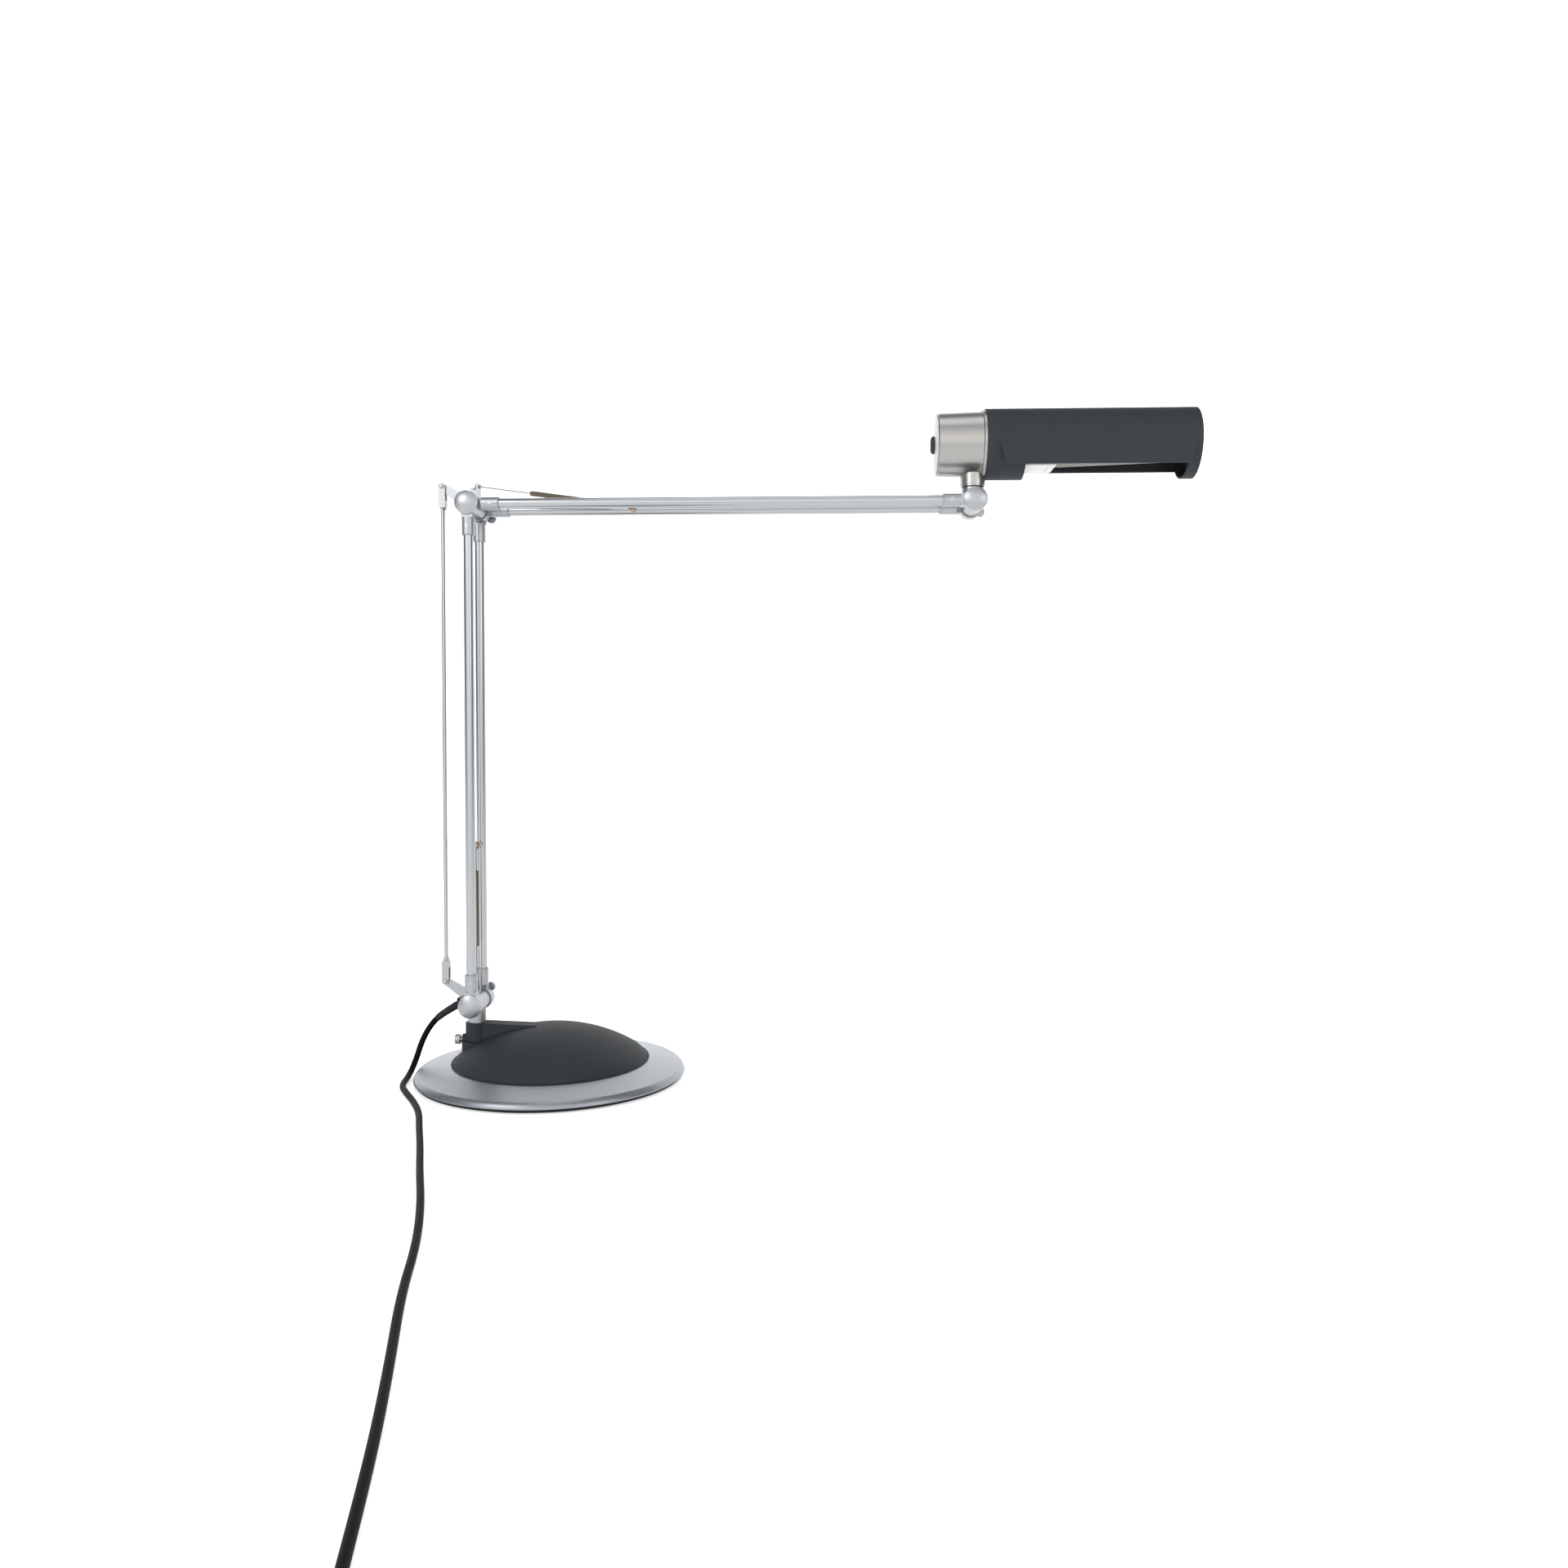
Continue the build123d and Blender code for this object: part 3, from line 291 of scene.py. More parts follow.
def cast_iron(name, colour, rust_colour=(0.16, 0.07, 0.035)):
    """Iron as it leaves the sand mould, with rust in patches."""
    finish = Finish(name)
    sand = finish.noise(700, 6.0, 0.7)
    rust = finish.clear_range(finish.noise(45, 5.0, 0.6), 0.55, 0.75)
    skin = finish.blend(sand, shade_of(colour, 0.6), shade_of(colour, 1.5))
    finish.set("Base Color", finish.blend(rust * 0.4, skin, rust_colour))
    finish.set("Metallic", 0.7 - 0.5 * rust)
    finish.set("Roughness", 0.6 + 0.25 * rust)
    finish.bump(sand, 0.0003, 0.7)
    return finish.material


def white_glass(name, colour):
    """Phosphor-coated lamp glass: an even white with a clear gloss."""
    finish = Finish(name, IOR=1.5, Coat_Roughness=0.03)
    powder = finish.noise(900, 4.0)
    cloud = finish.noise(45, 3.0)
    base = finish.blend(powder, shade_of(colour, 0.94), colour)
    finish.set("Base Color", finish.blend(cloud * 0.2, base, shade_of(colour, 0.88)))
    finish.set("Coat Weight", 1.0)
    finish.set("Roughness", 0.34 + 0.08 * powder)
    finish.bump(powder, 0.00001, 0.4)
    return finish.material


# ---------------------------------------------------------------- mesh helpers


def add_piece(name, build, material, body=None, smooth_angle=35.0):
    """A mesh piece filled in by build(bmesh), with its finish and body."""
    mesh = bpy.data.meshes.new(name)
    form = bmesh.new()
    build(form)
    bmesh.ops.recalc_face_normals(form, faces=form.faces)
    form.to_mesh(mesh)
    form.free()
    mesh.shade_smooth()
    mesh.set_sharp_from_angle(angle=math.radians(smooth_angle))
    piece = bpy.data.objects.new(name, mesh)
    bpy.context.scene.collection.objects.link(piece)
    mesh.materials.append(material)
    if body:
        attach(piece, body)
    return piece


def ring(form, centre, side, up, r, count):
    """One ring of vertices round a centre, in the plane of side and up."""
    turns = (2 * math.pi * i / count for i in range(count))
    return [form.verts.new(centre + r * (side * math.cos(a) + up * math.sin(a))) for a in turns]


def skin(form, rings, closed=False):
    """Faces between rings, with a flat cap on each end unless the line is closed."""
    count = len(rings[0])
    pairs = list(zip(rings, rings[1:]))
    if closed:
        pairs.append((rings[-1], rings[0]))
    for a, b in pairs:
        for i in range(count):
            j = (i + 1) % count
            form.faces.new((a[i], a[j], b[j], b[i]))
    if not closed:
        form.faces.new(list(reversed(rings[0])))
        form.faces.new(rings[-1])


def tube(form, points, radii, count=16):
    """A round tube along points. Its frame is carried from point to point without twist."""
    points = [Vector(p) for p in points]
    if not hasattr(radii, "__len__"):
        radii = [radii] * len(points)
    heading = (points[1] - points[0]).normalized()
    side = heading.orthogonal().normalized()
    rings = []
    for i, (point, r) in enumerate(zip(points, radii)):
        ahead = points[min(i + 1, len(points) - 1)] - points[max(i - 1, 0)]
        ahead.normalize()
        side = (side - ahead * side.dot(ahead)).normalized()
        rings.append(ring(form, point, side, ahead.cross(side), r, count))
    skin(form, rings)


def in_mm(*outline):
    """An outline's (distance, radius) pairs, written in millimetres, as metres."""
    return [(distance * MM, radius * MM) for distance, radius in outline]


def lathe(form, origin, axis, outline, count=64, closed=False, pole_r=1e-6):
    """A turned form: outline is (distance along the axis, radius) pairs in metres."""
    axis = Vector(axis).normalized()
    side = axis.orthogonal().normalized()
    up = axis.cross(side)
    origin = Vector(origin)
    rings = [ring(form, origin + axis * d, side, up, max(r, pole_r), count) for d, r in outline]
    skin(form, rings, closed)


def dome_outline(base, r, rise, steps=8):
    """(distance, radius) pairs of a rounded crown on a disc of radius r."""
    quarter = [math.pi / 2 * i / steps for i in range(steps + 1)]
    return [(base + rise * math.sin(a), r * math.cos(a)) for a in quarter]


def hexagon(form, origin, axis, across, thickness):
    """A chamfered hexagonal nut."""
    r = across / 2 / math.cos(math.pi / 6)
    face_r = 0.9 * r
    edge = 0.12 * thickness
    outline = [(0, face_r), (edge, r), (thickness - edge, r), (thickness, face_r)]
    lathe(form, origin, axis, outline, count=6)


def arc_points(centre, first, second, start, stop, steps):
    """Points on an ellipse spanned by two half-axes, between two angles in degrees."""
    angles = (math.radians(start + (stop - start) * i / steps) for i in range(steps + 1))
    return [centre + first * math.cos(a) + second * math.sin(a) for a in angles]


def finish_node(node, material):
    """Gives a carried-over node its finish."""
    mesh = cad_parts[node].data
    mesh.materials.clear()
    mesh.materials.append(material)


# ---------------------------------------------------------------- settings


def colour_setting(name, description, default):
    return FloatVectorProperty(
        name=name, description=description, default=default, subtype="COLOR", min=0.0, max=1.0
    )


def length_setting(name, description, default):
    return FloatProperty(name=name, description=description, default=default, unit="LENGTH")


class LampFinishes(bpy.types.PropertyGroup):
    moulding: colour_setting("Moulding", "Cover, post and shade", (0.018, 0.021, 0.024))
    base_silver: colour_setting("Base ring", "Silver paint of the base ring", (0.27, 0.285, 0.3))
    fitting_silver: colour_setting("Fittings", "Knuckles, caps and brackets", (0.36, 0.37, 0.38))
    nickel: colour_setting("Head", "Satin nickel of the head housing", (0.36, 0.35, 0.335))
    aluminium: colour_setting("Tubes", "Drawn tubes of the arms", (0.4, 0.41, 0.42))
    steel: colour_setting("Steel", "Bare bolts and screws", (0.5, 0.49, 0.47))
    spring_steel: colour_setting("Spring", "Oil-tempered spring wire", (0.2, 0.17, 0.13))
    bronze: colour_setting("Cross pins", "Bronze pins between the tubes", (0.42, 0.3, 0.23))
    iron: colour_setting("Iron", "Weight in the base and block in the head", (0.09, 0.088, 0.085))
    button: colour_setting("Button", "Push button on the head", (0.022, 0.022, 0.023))
    black: colour_setting("Black", "Lead, gland, pad and pan", (0.005, 0.005, 0.006))
    holder: colour_setting("Lamp holder", "Light grey moulding", (0.6, 0.6, 0.57))
    white: colour_setting("White", "Lamp and its base", (0.84, 0.85, 0.83))
    reflector: colour_setting("Reflector", "Painted reflector", (0.66, 0.65, 0.62))


class SpringSizes(bpy.types.PropertyGroup):
    coil_r: length_setting("Coil radius", "Outer radius of the coil", 2.25 * MM)
    wire_r: length_setting("Wire radius", "Radius of the wire", 0.45 * MM)
    coil_length: length_setting("Coil length", "Length of the stretched coil", 63.5 * MM)
    from_pin: length_setting("Coil from pin", "Gap between the coil and its pin", 20.7 * MM)
    turns: IntProperty(name="Turns", description="Turns in the coil", default=62, min=10)


class LeadSizes(bpy.types.PropertyGroup):
    relief_length: length_setting("Relief length", "Length of the tapered sleeve", 22 * MM)
    relief_r: length_setting("Relief radius", "Radius of the sleeve at the gland", 3.3 * MM)
    turns_in: FloatProperty(name="Turns in", description="Turns of the lower layer", default=3.0)
    turns_out: FloatProperty(name="Turns out", description="Turns of the top layer", default=2.218)


class StudioSettings(bpy.types.PropertyGroup):
    camera_place: FloatVectorProperty(
        name="Camera", description="Where the camera stands", default=(0.228, -0.999, 0.27),
        subtype="TRANSLATION",
    )
    pitch: FloatProperty(
        name="Pitch", description="How far the camera looks down", default=math.radians(1.55),
        subtype="ANGLE",
    )
    yaw: FloatProperty(
        name="Yaw", description="How far the camera turns to the left", default=math.radians(2.0),
        subtype="ANGLE",
    )
    lens: FloatProperty(name="Lens", description="Focal length in millimetres", default=28.01)


class LampSettings(bpy.types.PropertyGroup):
    finishes: PointerProperty(type=LampFinishes)
    spring: PointerProperty(type=SpringSizes)
    lead: PointerProperty(type=LeadSizes)
    studio: PointerProperty(type=StudioSettings)


MATERIALS = {}


def mix_finishes(colours):
    """Makes every finish once."""
    turned = (1, 0.1, 1)
    drawn_tube = {"rough": 0.22, "streak": 2600, "wear": 0.03, "relief": 0.12}
    MATERIALS.update(
        moulding=moulded("moulding dark", colours.moulding),
        base_silver=satin_paint(
            "base silver", colours.base_silver, rough=0.34, metallic=0.85, fleck=0.08
        ),
        fitting_silver=satin_paint(
            "fitting silver", colours.fitting_silver, rough=0.34, metallic=0.9, fleck=0.06
        ),
        nickel=drawn_metal(
            "satin nickel", colours.nickel, rough=0.3, stretch=(0.03, 1, 1), streak=3200,
            wear=0.03, relief=0.05,
        ),
        tube_upright=drawn_metal(
            "tube upright", colours.aluminium, stretch=(1, 1, 0.02), **drawn_tube
        ),
        tube_level=drawn_metal(
            "tube level", colours.aluminium, stretch=(0.02, 1, 1), **drawn_tube
        ),
        steel=drawn_metal("bare steel", colours.steel, rough=0.3, stretch=turned),
        spring_steel=drawn_metal(
            "spring steel", colours.spring_steel, rough=0.36, stretch=(1, 1, 1), streak=1800,
            wear=0.2,
        ),
        bronze=drawn_metal("pin bronze", colours.bronze, rough=0.38, stretch=turned),
        iron=cast_iron("cast iron", colours.iron),
        lead=rubber("lead jacket", colours.black, rough=0.5, gloss=0.04),
        black=rubber("black rubber", shade_of(colours.black, 1.3), rough=0.6, gloss=0.35),
        pan=rubber("pan black", shade_of(colours.black, 1.6), rough=0.55, gloss=0.15),
        holder=moulded("holder grey", colours.holder, grain=0.00005, rough=0.45),
        button=moulded("button black", colours.button, grain=0.00004, rough=0.42),
        lamp=white_glass("lamp glass", colours.white),
        lamp_base=moulded(
            "lamp base white", shade_of(colours.white, 0.9), grain=0.00003, rough=0.4
        ),
        reflector=satin_paint(
            "reflector paint", colours.reflector, rough=0.42, metallic=0.1, fleck=0.03
        ),
    )


NODE_FINISHES = {
    "moulding": "base_cover shade shade_end_cap",
    "base_silver": "base_ring",
    "fitting_silver": "base_bracket elbow_bracket lower_pivot_cap elbow_pivot_cap head_pivot_cap"
    " lower_foot_knuckles lower_top_knuckles upper_elbow_knuckles upper_end_knuckles"
    " lower_tension_knob elbow_tension_knob head_tension_knob lower_washers elbow_washers"
    " head_washers tie_rod_forks",
    "nickel": "lamp_housing housing_end_cap housing_rim neck_collar head_hinge_block thumb_screw",
    "tube_upright": "lower_tubes tie_rod",
    "tube_level": "upper_tubes",
    "steel": "pan_screws post_tube swivel_spigot lower_pivot_bolt elbow_pivot_bolt"
    " head_pivot_bolt elbow_hook_screw tie_rod_pins",
    "bronze": "lower_cross_pin upper_cross_pin",
    "iron": "base_weight ballast",
    "lead": "lower_arm_lead upper_arm_lead head_lead",
    "black": "base_pad cable_gland mains_plug",
    "pan": "base_pan",
    "holder": "lamp_holder switch_body",
    "button": "switch_button",
    "lamp": "lamp_tubes",
    "lamp_base": "lamp_base",
    "reflector": "reflector",
}


# ---------------------------------------------------------------- operators


class LAMP_OT_studio(bpy.types.Operator):
    """Set up the pale floor, the soft lights and the camera"""

    bl_idname = "lamp.studio"
    bl_label = "Studio"

    def execute(self, context):
        studio = context.scene.desk_lamp.studio
        self.camera(context, studio)
        self.floor()
        self.room(context)
        self.area("key light", (-1.0, -1.5, 1.3), target=(0.1, 0, 0.25), size=1.0, power=12)
        self.area("fill light", (1.7, -1.3, 0.9), target=(0.2, 0, 0.3), size=0.9, power=5)
        self.area("top light", (0.2, -0.3, 2.2), target=(0.2, 0, 0.3), size=1.0, power=5)
        context.scene.view_settings.view_transform = "Standard"
        return {"FINISHED"}

    def camera(self, context, studio):
        data = bpy.data.cameras.new("camera")
        data.lens = studio.lens
        data.sensor_width = 36
        data.clip_start = 0.01
        camera = bpy.data.objects.new("camera", data)
        camera.location = studio.camera_place
        camera.rotation_euler = (math.pi / 2 - studio.pitch, 0, studio.yaw)
        context.scene.collection.objects.link(camera)
        context.scene.camera = camera

    def floor(self):
        finish = Finish("studio floor", Roughness=0.9, Emission_Strength=0.55)
        finish.shader.inputs["Emission Color"].default_value = (1, 1, 1, 1)
        cloud = finish.noise(3, 2.0)
        finish.set("Base Color", finish.blend(cloud, (0.87, 0.87, 0.87), (0.9, 0.9, 0.9)))

        def sweep_sheet(form):
            """A level floor that curves up into a wall behind."""
            front, back, bend_r, top, half_width = -6, 4, 1, 5, 8
            centre = Vector((0, back - bend_r, bend_r))
            bend = arc_points(centre, Y_AXIS * bend_r, Vector((0, 0, bend_r)), -90, 0, 12)
            line = [Vector((0, front, 0))] + bend + [Vector((0, back, top))]
            rows = [
                [form.verts.new(p + Vector((x, 0, 0))) for p in line]
                for x in (-half_width, half_width)
            ]
            for i in range(len(line) - 1):
                form.faces.new((rows[0][i], rows[1][i], rows[1][i + 1], rows[0][i + 1]))

        add_piece("studio_floor", sweep_sheet, finish.material)

    def room(self, context):
        """A room that is bright in front and dim overhead, at the sides and behind."""
        world = bpy.data.worlds.new("studio")
        world.use_nodes = True
        room = Finish.over(world.node_tree, "Background")
        direction = room.node("ShaderNodeTexCoord")
        behind = room.node("ShaderNodeSeparateXYZ", None, {"Vector": direction}, 1)
        front = room.clear_range(0.0 - behind, 0.35, 1.0)
        room.set("Color", room.blend(front, (0.86, 0.92, 1.0), (1.0, 0.99, 0.97)))
        room.set("Strength", 0.34 + 1.5 * front)
        context.scene.world = world

    def area(self, name, place, target, size, power):
        data = bpy.data.lights.new(name, "AREA")
        data.size = size
        data.energy = power
        light = bpy.data.objects.new(name, data)
        light.location = place
        aim = Vector(target) - Vector(place)
        light.rotation_euler = aim.to_track_quat("-Z", "Y").to_euler()
        bpy.context.scene.collection.objects.link(light)


class LAMP_OT_finishes(bpy.types.Operator):
    """Give every carried-over node its finish"""

    bl_idname = "lamp.finishes"
    bl_label = "Finishes"

    def execute(self, context):
        mix_finishes(context.scene.desk_lamp.finishes)
        for finish, nodes in NODE_FINISHES.items():
            for node in nodes.split():
                finish_node(node, MATERIALS[finish])
        return {"FINISHED"}


class LAMP_OT_mains_lead(bpy.types.Operator):
    """Lay the mains lead from its gland to the coil and the plug"""

    bl_idname = "lamp.mains_lead"
    bl_label = "Mains lead"

    points_per_turn = 20
    swell_power = 0.75

    def coil_route(self, sizes):
        """The coil's turns: inwards on the table, up at the middle and outwards on top."""
        low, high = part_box("mains_cord_coil")
        centre = (low + high) / 2
        outer = (high.x - low.x) / 2 - LEAD_R
        step = 2 * LEAD_R
        arrive, before = Vector(LEAD_ROUTE[-1]), Vector(LEAD_ROUTE[-2])
        heading = (arrive - before).normalized()
        start = math.degrees(math.atan2(-heading.x, heading.y))
        turns = sizes.turns_in + 1 + sizes.turns_out
        count = round(turns * self.points_per_turn)
        swell = 1 / math.cos(math.pi / self.points_per_turn) ** self.swell_power
        route = []
        for i in range(count + 1):
            turn = turns * i / count
            inwards = min(turn, sizes.turns_in)
            rising = min(max(turn - sizes.turns_in, 0), 1)
            outwards = max(turn - sizes.turns_in - 1, 0)
            r = (outer - step * inwards + step * outwards) * swell
            angle = math.radians(start) + 2 * math.pi * turn
            z = LEAD_ROUTE[-1][2] + rising * step
            route.append((centre.x + r * math.cos(angle), centre.y + r * math.sin(angle), z))
        return route

    def plug_tail(self, last):
        """The lead's last points, from the coil's end into the plug."""
        plug_low, plug_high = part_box("mains_plug")
        plug_mid = (plug_low + plug_high) / 2
        into_plug = 2 * MM
        lift = Vector((0, 0, 0.3 * MM))
        neck = Vector((plug_low.x + into_plug, plug_mid.y, plug_mid.z))
        return [last.lerp(neck, 0.45) + lift, neck]

    def smooth_line(self, context, route):
        """The points of a smooth curve drawn through a route."""
        data = bpy.data.curves.new("lead_line", "CURVE")
        data.dimensions = "3D"
        data.resolution_u = 8
        spline = data.splines.new("NURBS")
        spline.points.add(len(route) - 1)
        for point, place in zip(spline.points, route):
            point.co = (*place, 1)
        spline.order_u = 3
        spline.use_endpoint_u = True
        line = bpy.data.objects.new("lead_line", data)
        context.scene.collection.objects.link(line)
        context.view_layer.update()
        sampled = bpy.data.meshes.new_from_object(line)
        path = [v.co.copy() for v in sampled.vertices]
        bpy.data.objects.remove(line)
        bpy.data.meshes.remove(sampled)
        return path

    def execute(self, context):
        sizes = context.scene.desk_lamp.lead
        coil = self.coil_route(sizes)
        route = LEAD_ROUTE[:-1] + coil[1:] + self.plug_tail(Vector(coil[-1]))
        path = self.smooth_line(context, route)
        lead = add_piece(
            "mains_lead", lambda form: tube(form, path, LEAD_R, 16), MATERIALS["lead"]
        )
        relief = self.strain_relief(sizes, path)
        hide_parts("mains_cord_drop", "mains_cord_floor", "mains_cord_coil")
        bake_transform(lead)
        return {"FINISHED"}

    def strain_relief(self, sizes, path):
        """A tapered sleeve with grooves round the lead's first stretch."""
        run = [path[0]]
        done = 0.0
        for a, b in zip(path, path[1:]):
            done += (b - a).length
            if done > sizes.relief_length:
                break
            run.append(b)
        steps = 44
        plain = 3
        groove_depth = end_wall = 0.35 * MM
        lengths = [0.0]
        for a, b in zip(run, run[1:]):
            lengths.append(lengths[-1] + (b - a).length)
        points, radii = [], []
        for i in range(steps + 1):
            want = lengths[-1] * i / steps
            k = max(j for j, d in enumerate(lengths) if d <= want)
            k = min(k, len(run) - 2)
            share = (want - lengths[k]) / (lengths[k + 1] - lengths[k])
            points.append(run[k].lerp(run[k + 1], share))
            taper = sizes.relief_r + (LEAD_R + end_wall - sizes.relief_r) * i / steps
            grooved = i % 4 in (2, 3) and plain < i < steps - plain
            radii.append(taper - (groove_depth if grooved else 0.0))
        return add_piece(
            "lead_strain_relief",
            lambda form: tube(form, points, radii, 24),
            MATERIALS["black"],
            "swivel",
            smooth_angle=50,
        )


class LAMP_OT_springs(bpy.types.Operator):
    """Wind the two tension springs with their hooks"""

    bl_idname = "lamp.springs"
    bl_label = "Springs"

    points_per_turn = 14
    ramp_steps = 10
    straight = 2.4
    loop_gap = 3

    def spring_line(self, sizes, eye, pin, pin_r, hook):
        """The wire's centreline from its eye, through the coil, to the loop on the pin.

        The coil opens out from its axis over the first ramp_steps points and closes over the
        last. The straight ends and the gap before the loop are in wire radii.
        """
        along = (pin - eye).normalized()
        across = Y_AXIS.cross(along).normalized()
        wire = sizes.wire_r
        centre_r = sizes.coil_r - wire
        coil_end = pin - along * sizes.from_pin
        coil_start = coil_end - along * sizes.coil_length
        points = hook(along, wire) + [coil_start - along * self.straight * wire]
        steps = sizes.turns * self.points_per_turn
        for i in range(steps + 1):
            a = 2 * math.pi * i * sizes.turns / steps
            ramp = min(1.0, i / self.ramp_steps, (steps - i) / self.ramp_steps)
            at = coil_start.lerp(coil_end, i / steps)
            out = across * math.cos(a) + Y_AXIS * math.sin(a)
            points.append(at + out * centre_r * ramp)
        loop_r = pin_r + wire
        points += [
            coil_end + along * self.straight * wire,
            pin - along * (loop_r + self.loop_gap * wire),
        ]
        return points + arc_points(pin, across * loop_r, along * loop_r, -70, 235, 22)

    def execute(self, context):
        sizes = context.scene.desk_lamp.spring
        pin_low, pin_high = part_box("lower_cross_pin")
        pin_r = (pin_high.z - pin_low.z) / 2

        def through_horn(along, wire):
            """A closed hook through the horn's eye and over its tip."""
            half_height, half_width = 1.75 * MM, 2.1 * MM
            centre = LOWER_EYE + along * half_height
            hook = arc_points(centre, Y_AXIS * half_width, along * half_height, 70, -250, 26)
            return hook + [LOWER_EYE + along * (2 * half_height + 2 * wire)]

        def from_tab(along, wire):
            """A straight start at the elbow's tab, inside its ferrule."""
            return [UPPER_EYE + along * distance * MM for distance in (0.2, 3)]

        springs = (
            ("lower_spring", LOWER_EYE, LOWER_PIN, through_horn, "swivel", "lower_arm"),
            ("upper_spring", UPPER_EYE, UPPER_PIN, from_tab, "elbow", "upper_arm"),
        )
        for node, eye, pin, hook, from_body, to_body in springs:
            line = self.spring_line(sizes, eye, pin, pin_r, hook)
            piece = add_piece(
                node + "_wire",
                lambda form, line=line: tube(form, line, sizes.wire_r, 8),
                MATERIALS["spring_steel"],
                smooth_angle=60,
            )
            along = (pin - eye).normalized()
            coil_start = pin - along * (sizes.from_pin + sizes.coil_length)
            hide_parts(node)
            tuple(eye + along * 4 * MM)
            tuple(coil_start - along * 2 * MM)
            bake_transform(piece)
        return {"FINISHED"}


class LAMP_OT_fittings(bpy.types.Operator):
    """Add the fine fittings: lock nuts, rivet heads, set screws and beads"""

    bl_idname = "lamp.fittings"
    bl_label = "Fine fittings"

    # Outlines of the turned pieces: (distance along the axis, radius) in millimetres.
    sleeve_bead = ((-0.9, 5.15), (-0.7, 5.4), (-0.1, 5.4), (0.05, 5.2), (0.05, 4.06), (-0.9, 4.06))
    screw_cup = ((-0.4, 1.5), (0.22, 1.5), (0.34, 1.38), (0.34, 0.75), (-0.15, 0.7), (-0.15, 0.05))
    flange = ((0.75, 2.02), (0.75, 2.9), (0.95, 3.1), (1.5, 3.1), (1.7, 2.9), (1.7, 2.02))
    ferrule = ((0.05, 0.5), (0.05, 1.2), (0.25, 1.4), (1.3, 1.4), (1.6, 1.0), (2.2, 0.6))
    gland = ((5.6, 4.0), (5.6, 4.7), (5.2, 5.0), (3.4, 5.0), (3.0, 4.7), (3.0, 3.4))

    def execute(self, context):
        self.tie_rod_nuts()
        self.rivet_heads()
        self.knuckle_screws()
        self.pin_flanges()
        # The black bead in the seam between cover and ring is painted shade, not a real gasket.
        self.cover_seam_shadow()
        self.pivot_nuts()
        self.spring_anchor()
        self.gland_nut()
        return {"FINISHED"}

    def domed(self, head_r, edge, rise):
        """The outline of a domed head on a short straight edge, from millimetres."""
        return [(0, head_r * MM)] + dome_outline(edge * MM, head_r * MM, rise * MM)

    def tie_rod_nuts(self):
        """A lock nut where each fork meets the rod."""
        fork_reach, gap = 17.5 * MM, 0.05 * MM
        across, thickness = 4.6 * MM, 2.0 * MM

        def build(form):
            for z, side in ((TIE_LOW_Z, 1), (TIE_HIGH_Z, -1)):
                seat = (TIE_X, 0, z + side * fork_reach + side * gap)
                hexagon(form, seat, (0, 0, side), across, thickness)

        add_piece("tie_rod_lock_nuts", build, MATERIALS["steel"], "tie_link")

    def rivet_heads(self):
        """Domed heads on the tie rod's two pins."""
        fork_half = 3.75 * MM
        outline = self.domed(head_r=1.9, edge=0.25, rise=0.55)

        def build(form):
            for z in (TIE_LOW_Z, TIE_HIGH_Z):
                for side in (-1, 1):
                    lathe(form, (TIE_X, side * fork_half, z), (0, side, 0), outline, 32)

        add_piece("tie_rod_rivet_heads", build, MATERIALS["fitting_silver"], "tie_link")

    def knuckle_screws(self):
        """A socket set screw and an end bead on each sleeve that holds a tube."""
        up, ahead = Vector((0, 0, 1)), Vector((1, 0, 0))
        sleeves = (
            ("lower_foot_knuckles", "lower_arm", LOWER_PIVOT, up),
            ("lower_top_knuckles", "lower_arm", ELBOW_PIVOT, -up),
            ("upper_elbow_knuckles", "upper_arm", ELBOW_PIVOT, ahead),
            ("upper_end_knuckles", "upper_arm", END_PIVOT, -ahead),
        )
        sleeve_r, mouth_reach, screw_reach = 5.0, 25.5, 18.5
        for node, body, pivot, axis in sleeves:

            def beads(form, pivot=pivot, axis=axis):
                for y in (-TUBE_Y, TUBE_Y):
                    mouth = Vector((pivot.x, y * MM, pivot.z)) + axis * mouth_reach * MM
                    lathe(form, mouth, axis, in_mm(*self.sleeve_bead), 48, True)

            def screws(form, pivot=pivot, axis=axis):
                for side in (-1, 1):
                    face_y = side * (TUBE_Y + sleeve_r)
                    seat = Vector((pivot.x, face_y * MM, pivot.z)) + axis * screw_reach * MM
                    lathe(form, seat, (0, side, 0), in_mm(*self.screw_cup), 24)

            add_piece(node + "_beads", beads, MATERIALS["fitting_silver"], body)
            add_piece(node + "_set_screws", screws, MATERIALS["steel"], body)

    def pin_flanges(self):
        """Two flanges on each cross pin, one on either side of the spring's loop."""
        for arm in ("lower", "upper"):
            pin = arm + "_cross_pin"

            def build(form, centre=middle(pin)):
                for side in (-1, 1):
                    lathe(form, centre, (0, side, 0), in_mm(*self.flange), 32, True)

            add_piece(pin + "_flanges", build, MATERIALS["bronze"], arm + "_arm")

    def cover_seam_shadow(self):
        """Painted shade: a thin black bead laid in the joint between the cover and the ring, where
        the seam's shadow falls.
        """
        low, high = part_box("base_cover")
        r = (high.y - low.y) / 2
        below_ring = 0.95 * MM
        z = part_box("base_ring")[1].z - below_ring
        bead = [(d, r + out) for d, out in in_mm((0, 0), (0.25, 0.55), (0.7, 0.45), (0.8, 0))]

        def build(form):
            lathe(form, (0, 0, z), (0, 0, 1), bead, 160, True)

        # Black bead as painted shadow in the cover's seam.
        add_piece("cover_seam_shadow", build, MATERIALS["black"], "base", smooth_angle=60)

    def pivot_nuts(self):
        """A domed nut on each pivot bolt's rear end, behind its knob."""
        pivots = (
            ("lower", LOWER_PIVOT, "swivel"),
            ("elbow", ELBOW_PIVOT, "elbow"),
            ("head", END_PIVOT, "head_bracket"),
        )
        gap = 0.02 * MM
        outline = self.domed(head_r=2.2, edge=0.2, rise=0.7)
        for name, pivot, body in pivots:
            place = (pivot.x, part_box(name + "_pivot_bolt")[1].y + gap, pivot.z)

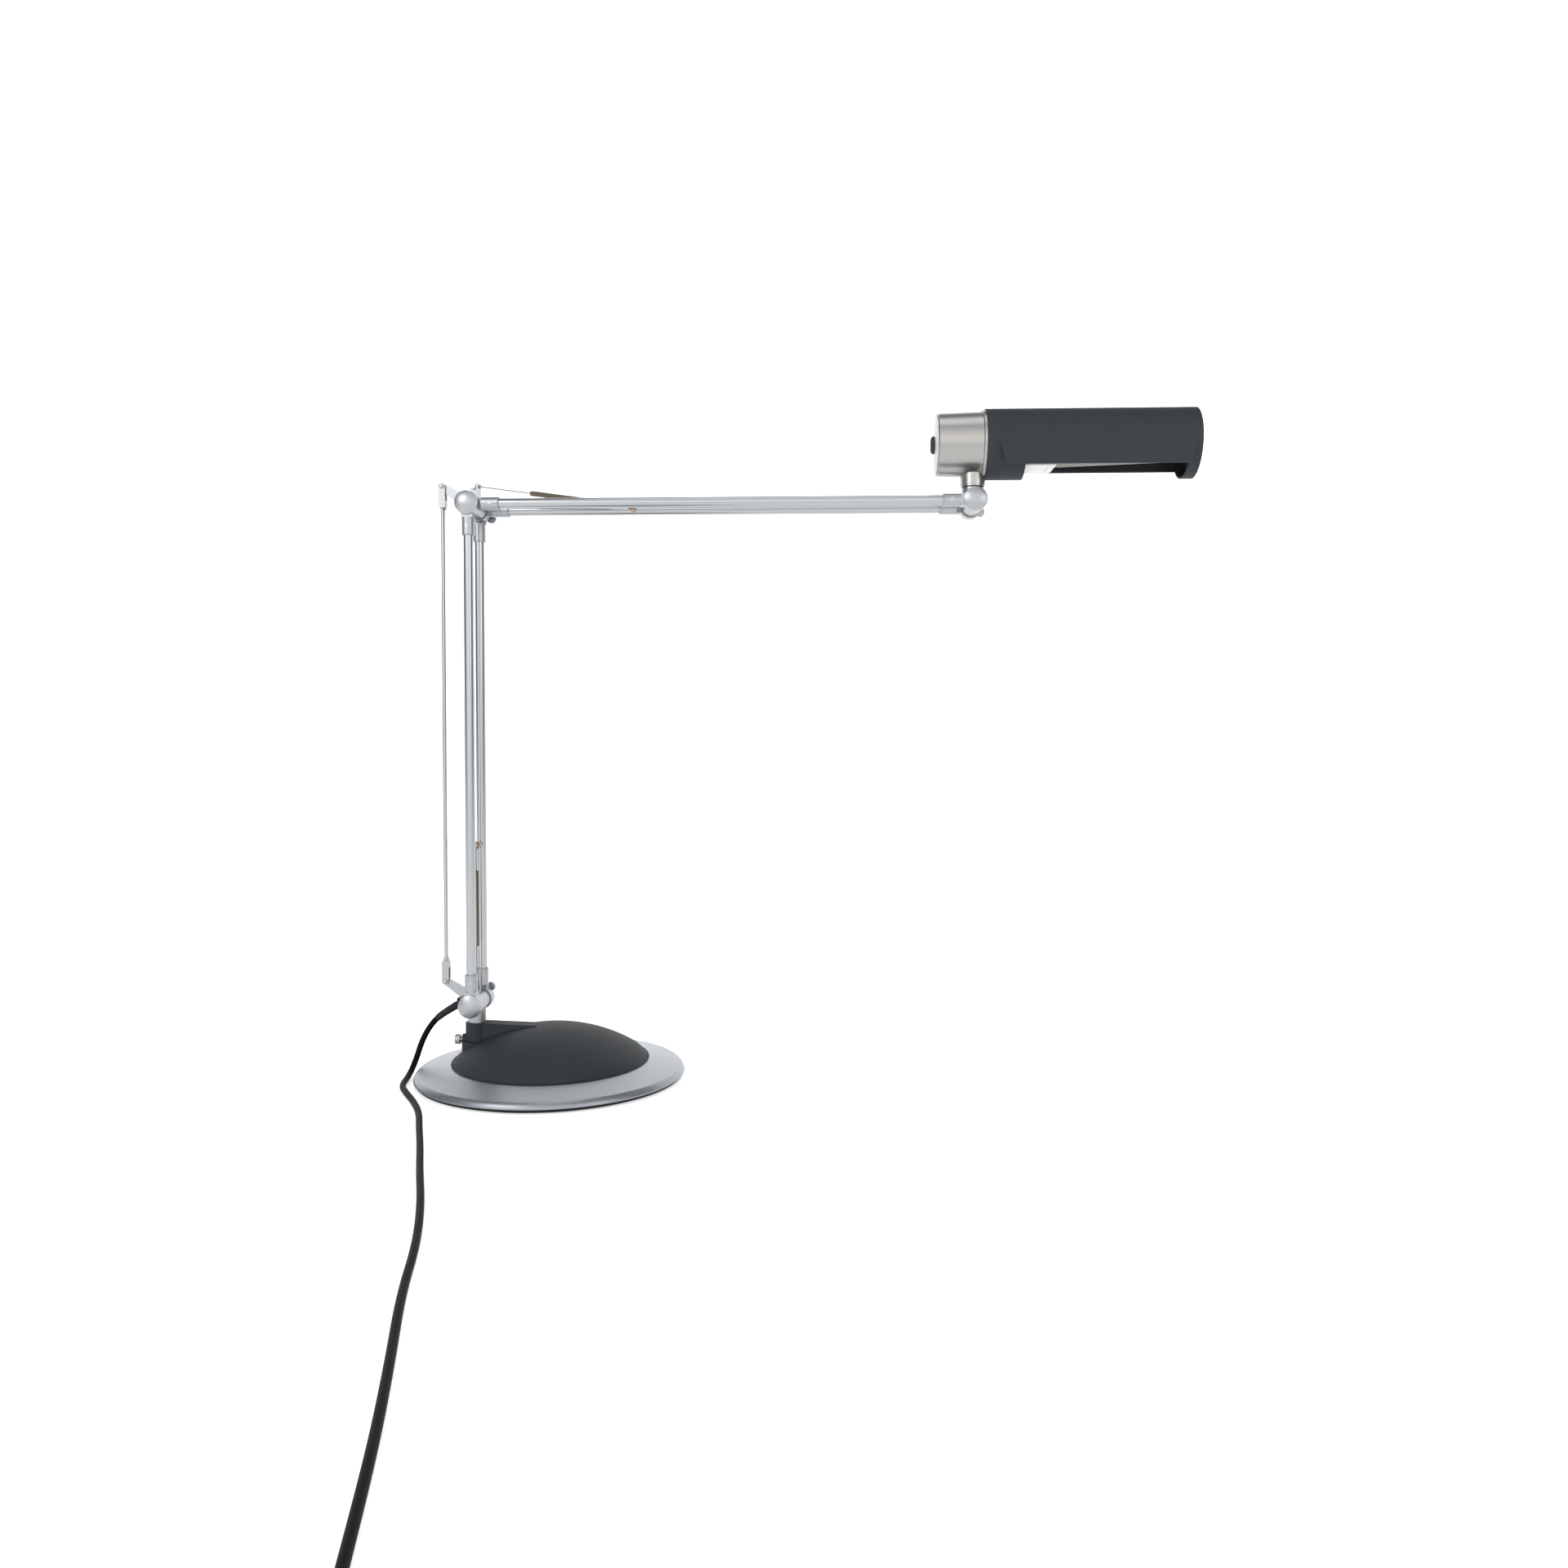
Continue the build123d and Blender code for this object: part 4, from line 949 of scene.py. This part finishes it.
            def build(form, place=place):
                lathe(form, place, Y_AXIS, outline, 32)

            add_piece(name + "_bolt_end", build, MATERIALS["steel"], body)

    def spring_anchor(self):
        """The ferrule that holds the upper spring's wire at the elbow's tab."""
        along = (UPPER_PIN - UPPER_EYE).normalized()

        def build(form):
            lathe(form, UPPER_EYE, along, in_mm(*self.ferrule), 24)

        add_piece("spring_anchor", build, MATERIALS["steel"], "elbow")

    def gland_nut(self):
        """A ribbed nut round the gland where it leaves the bracket."""
        exit_point = Vector(LEAD_ROUTE[0])
        tilt = math.radians(30)
        inward = Vector((math.cos(tilt), 0, math.sin(tilt)))
        up = inward.cross(Y_AXIS)
        ribbed_from_r, groove_share = 4.5, 0.05

        def build(form):
            rings = []
            for d, r in self.gland:
                centre = exit_point + inward * d * MM
                verts = ring(form, centre, Y_AXIS, up, r * MM, 48)
                for i, vert in enumerate(verts):
                    if i % 4 in (2, 3) and r > ribbed_from_r:
                        vert.co += (centre - vert.co) * groove_share
                rings.append(verts)
            skin(form, rings, True)

        add_piece("gland_nut", build, MATERIALS["black"], "swivel", smooth_angle=40)


class LAMP_PT_sidebar(bpy.types.Panel):
    """Lists the lamp's operators"""

    bl_idname = "LAMP_PT_sidebar"
    bl_label = "Desk lamp"
    bl_space_type = "VIEW_3D"
    bl_region_type = "UI"
    bl_category = "Desk Lamp"

    def draw(self, context):
        for operator in OPERATORS:
            self.layout.operator(operator.bl_idname)


OPERATORS = (
    LAMP_OT_studio,
    LAMP_OT_finishes,
    LAMP_OT_mains_lead,
    LAMP_OT_springs,
    LAMP_OT_fittings,
)
GROUPS = (LampFinishes, SpringSizes, LeadSizes, StudioSettings, LampSettings)


def register():
    for cls in (*GROUPS, *OPERATORS, LAMP_PT_sidebar):
        bpy.utils.register_class(cls)
    bpy.types.Scene.desk_lamp = PointerProperty(type=LampSettings)


def unregister():
    del bpy.types.Scene.desk_lamp
    for cls in reversed((*GROUPS, *OPERATORS, LAMP_PT_sidebar)):
        bpy.utils.unregister_class(cls)


def main():
    register()
    bpy.ops.lamp.studio()
    bpy.ops.lamp.finishes()
    bpy.ops.lamp.mains_lead()
    bpy.ops.lamp.springs()
    bpy.ops.lamp.fittings()


if __name__ == "__main__":
    main()
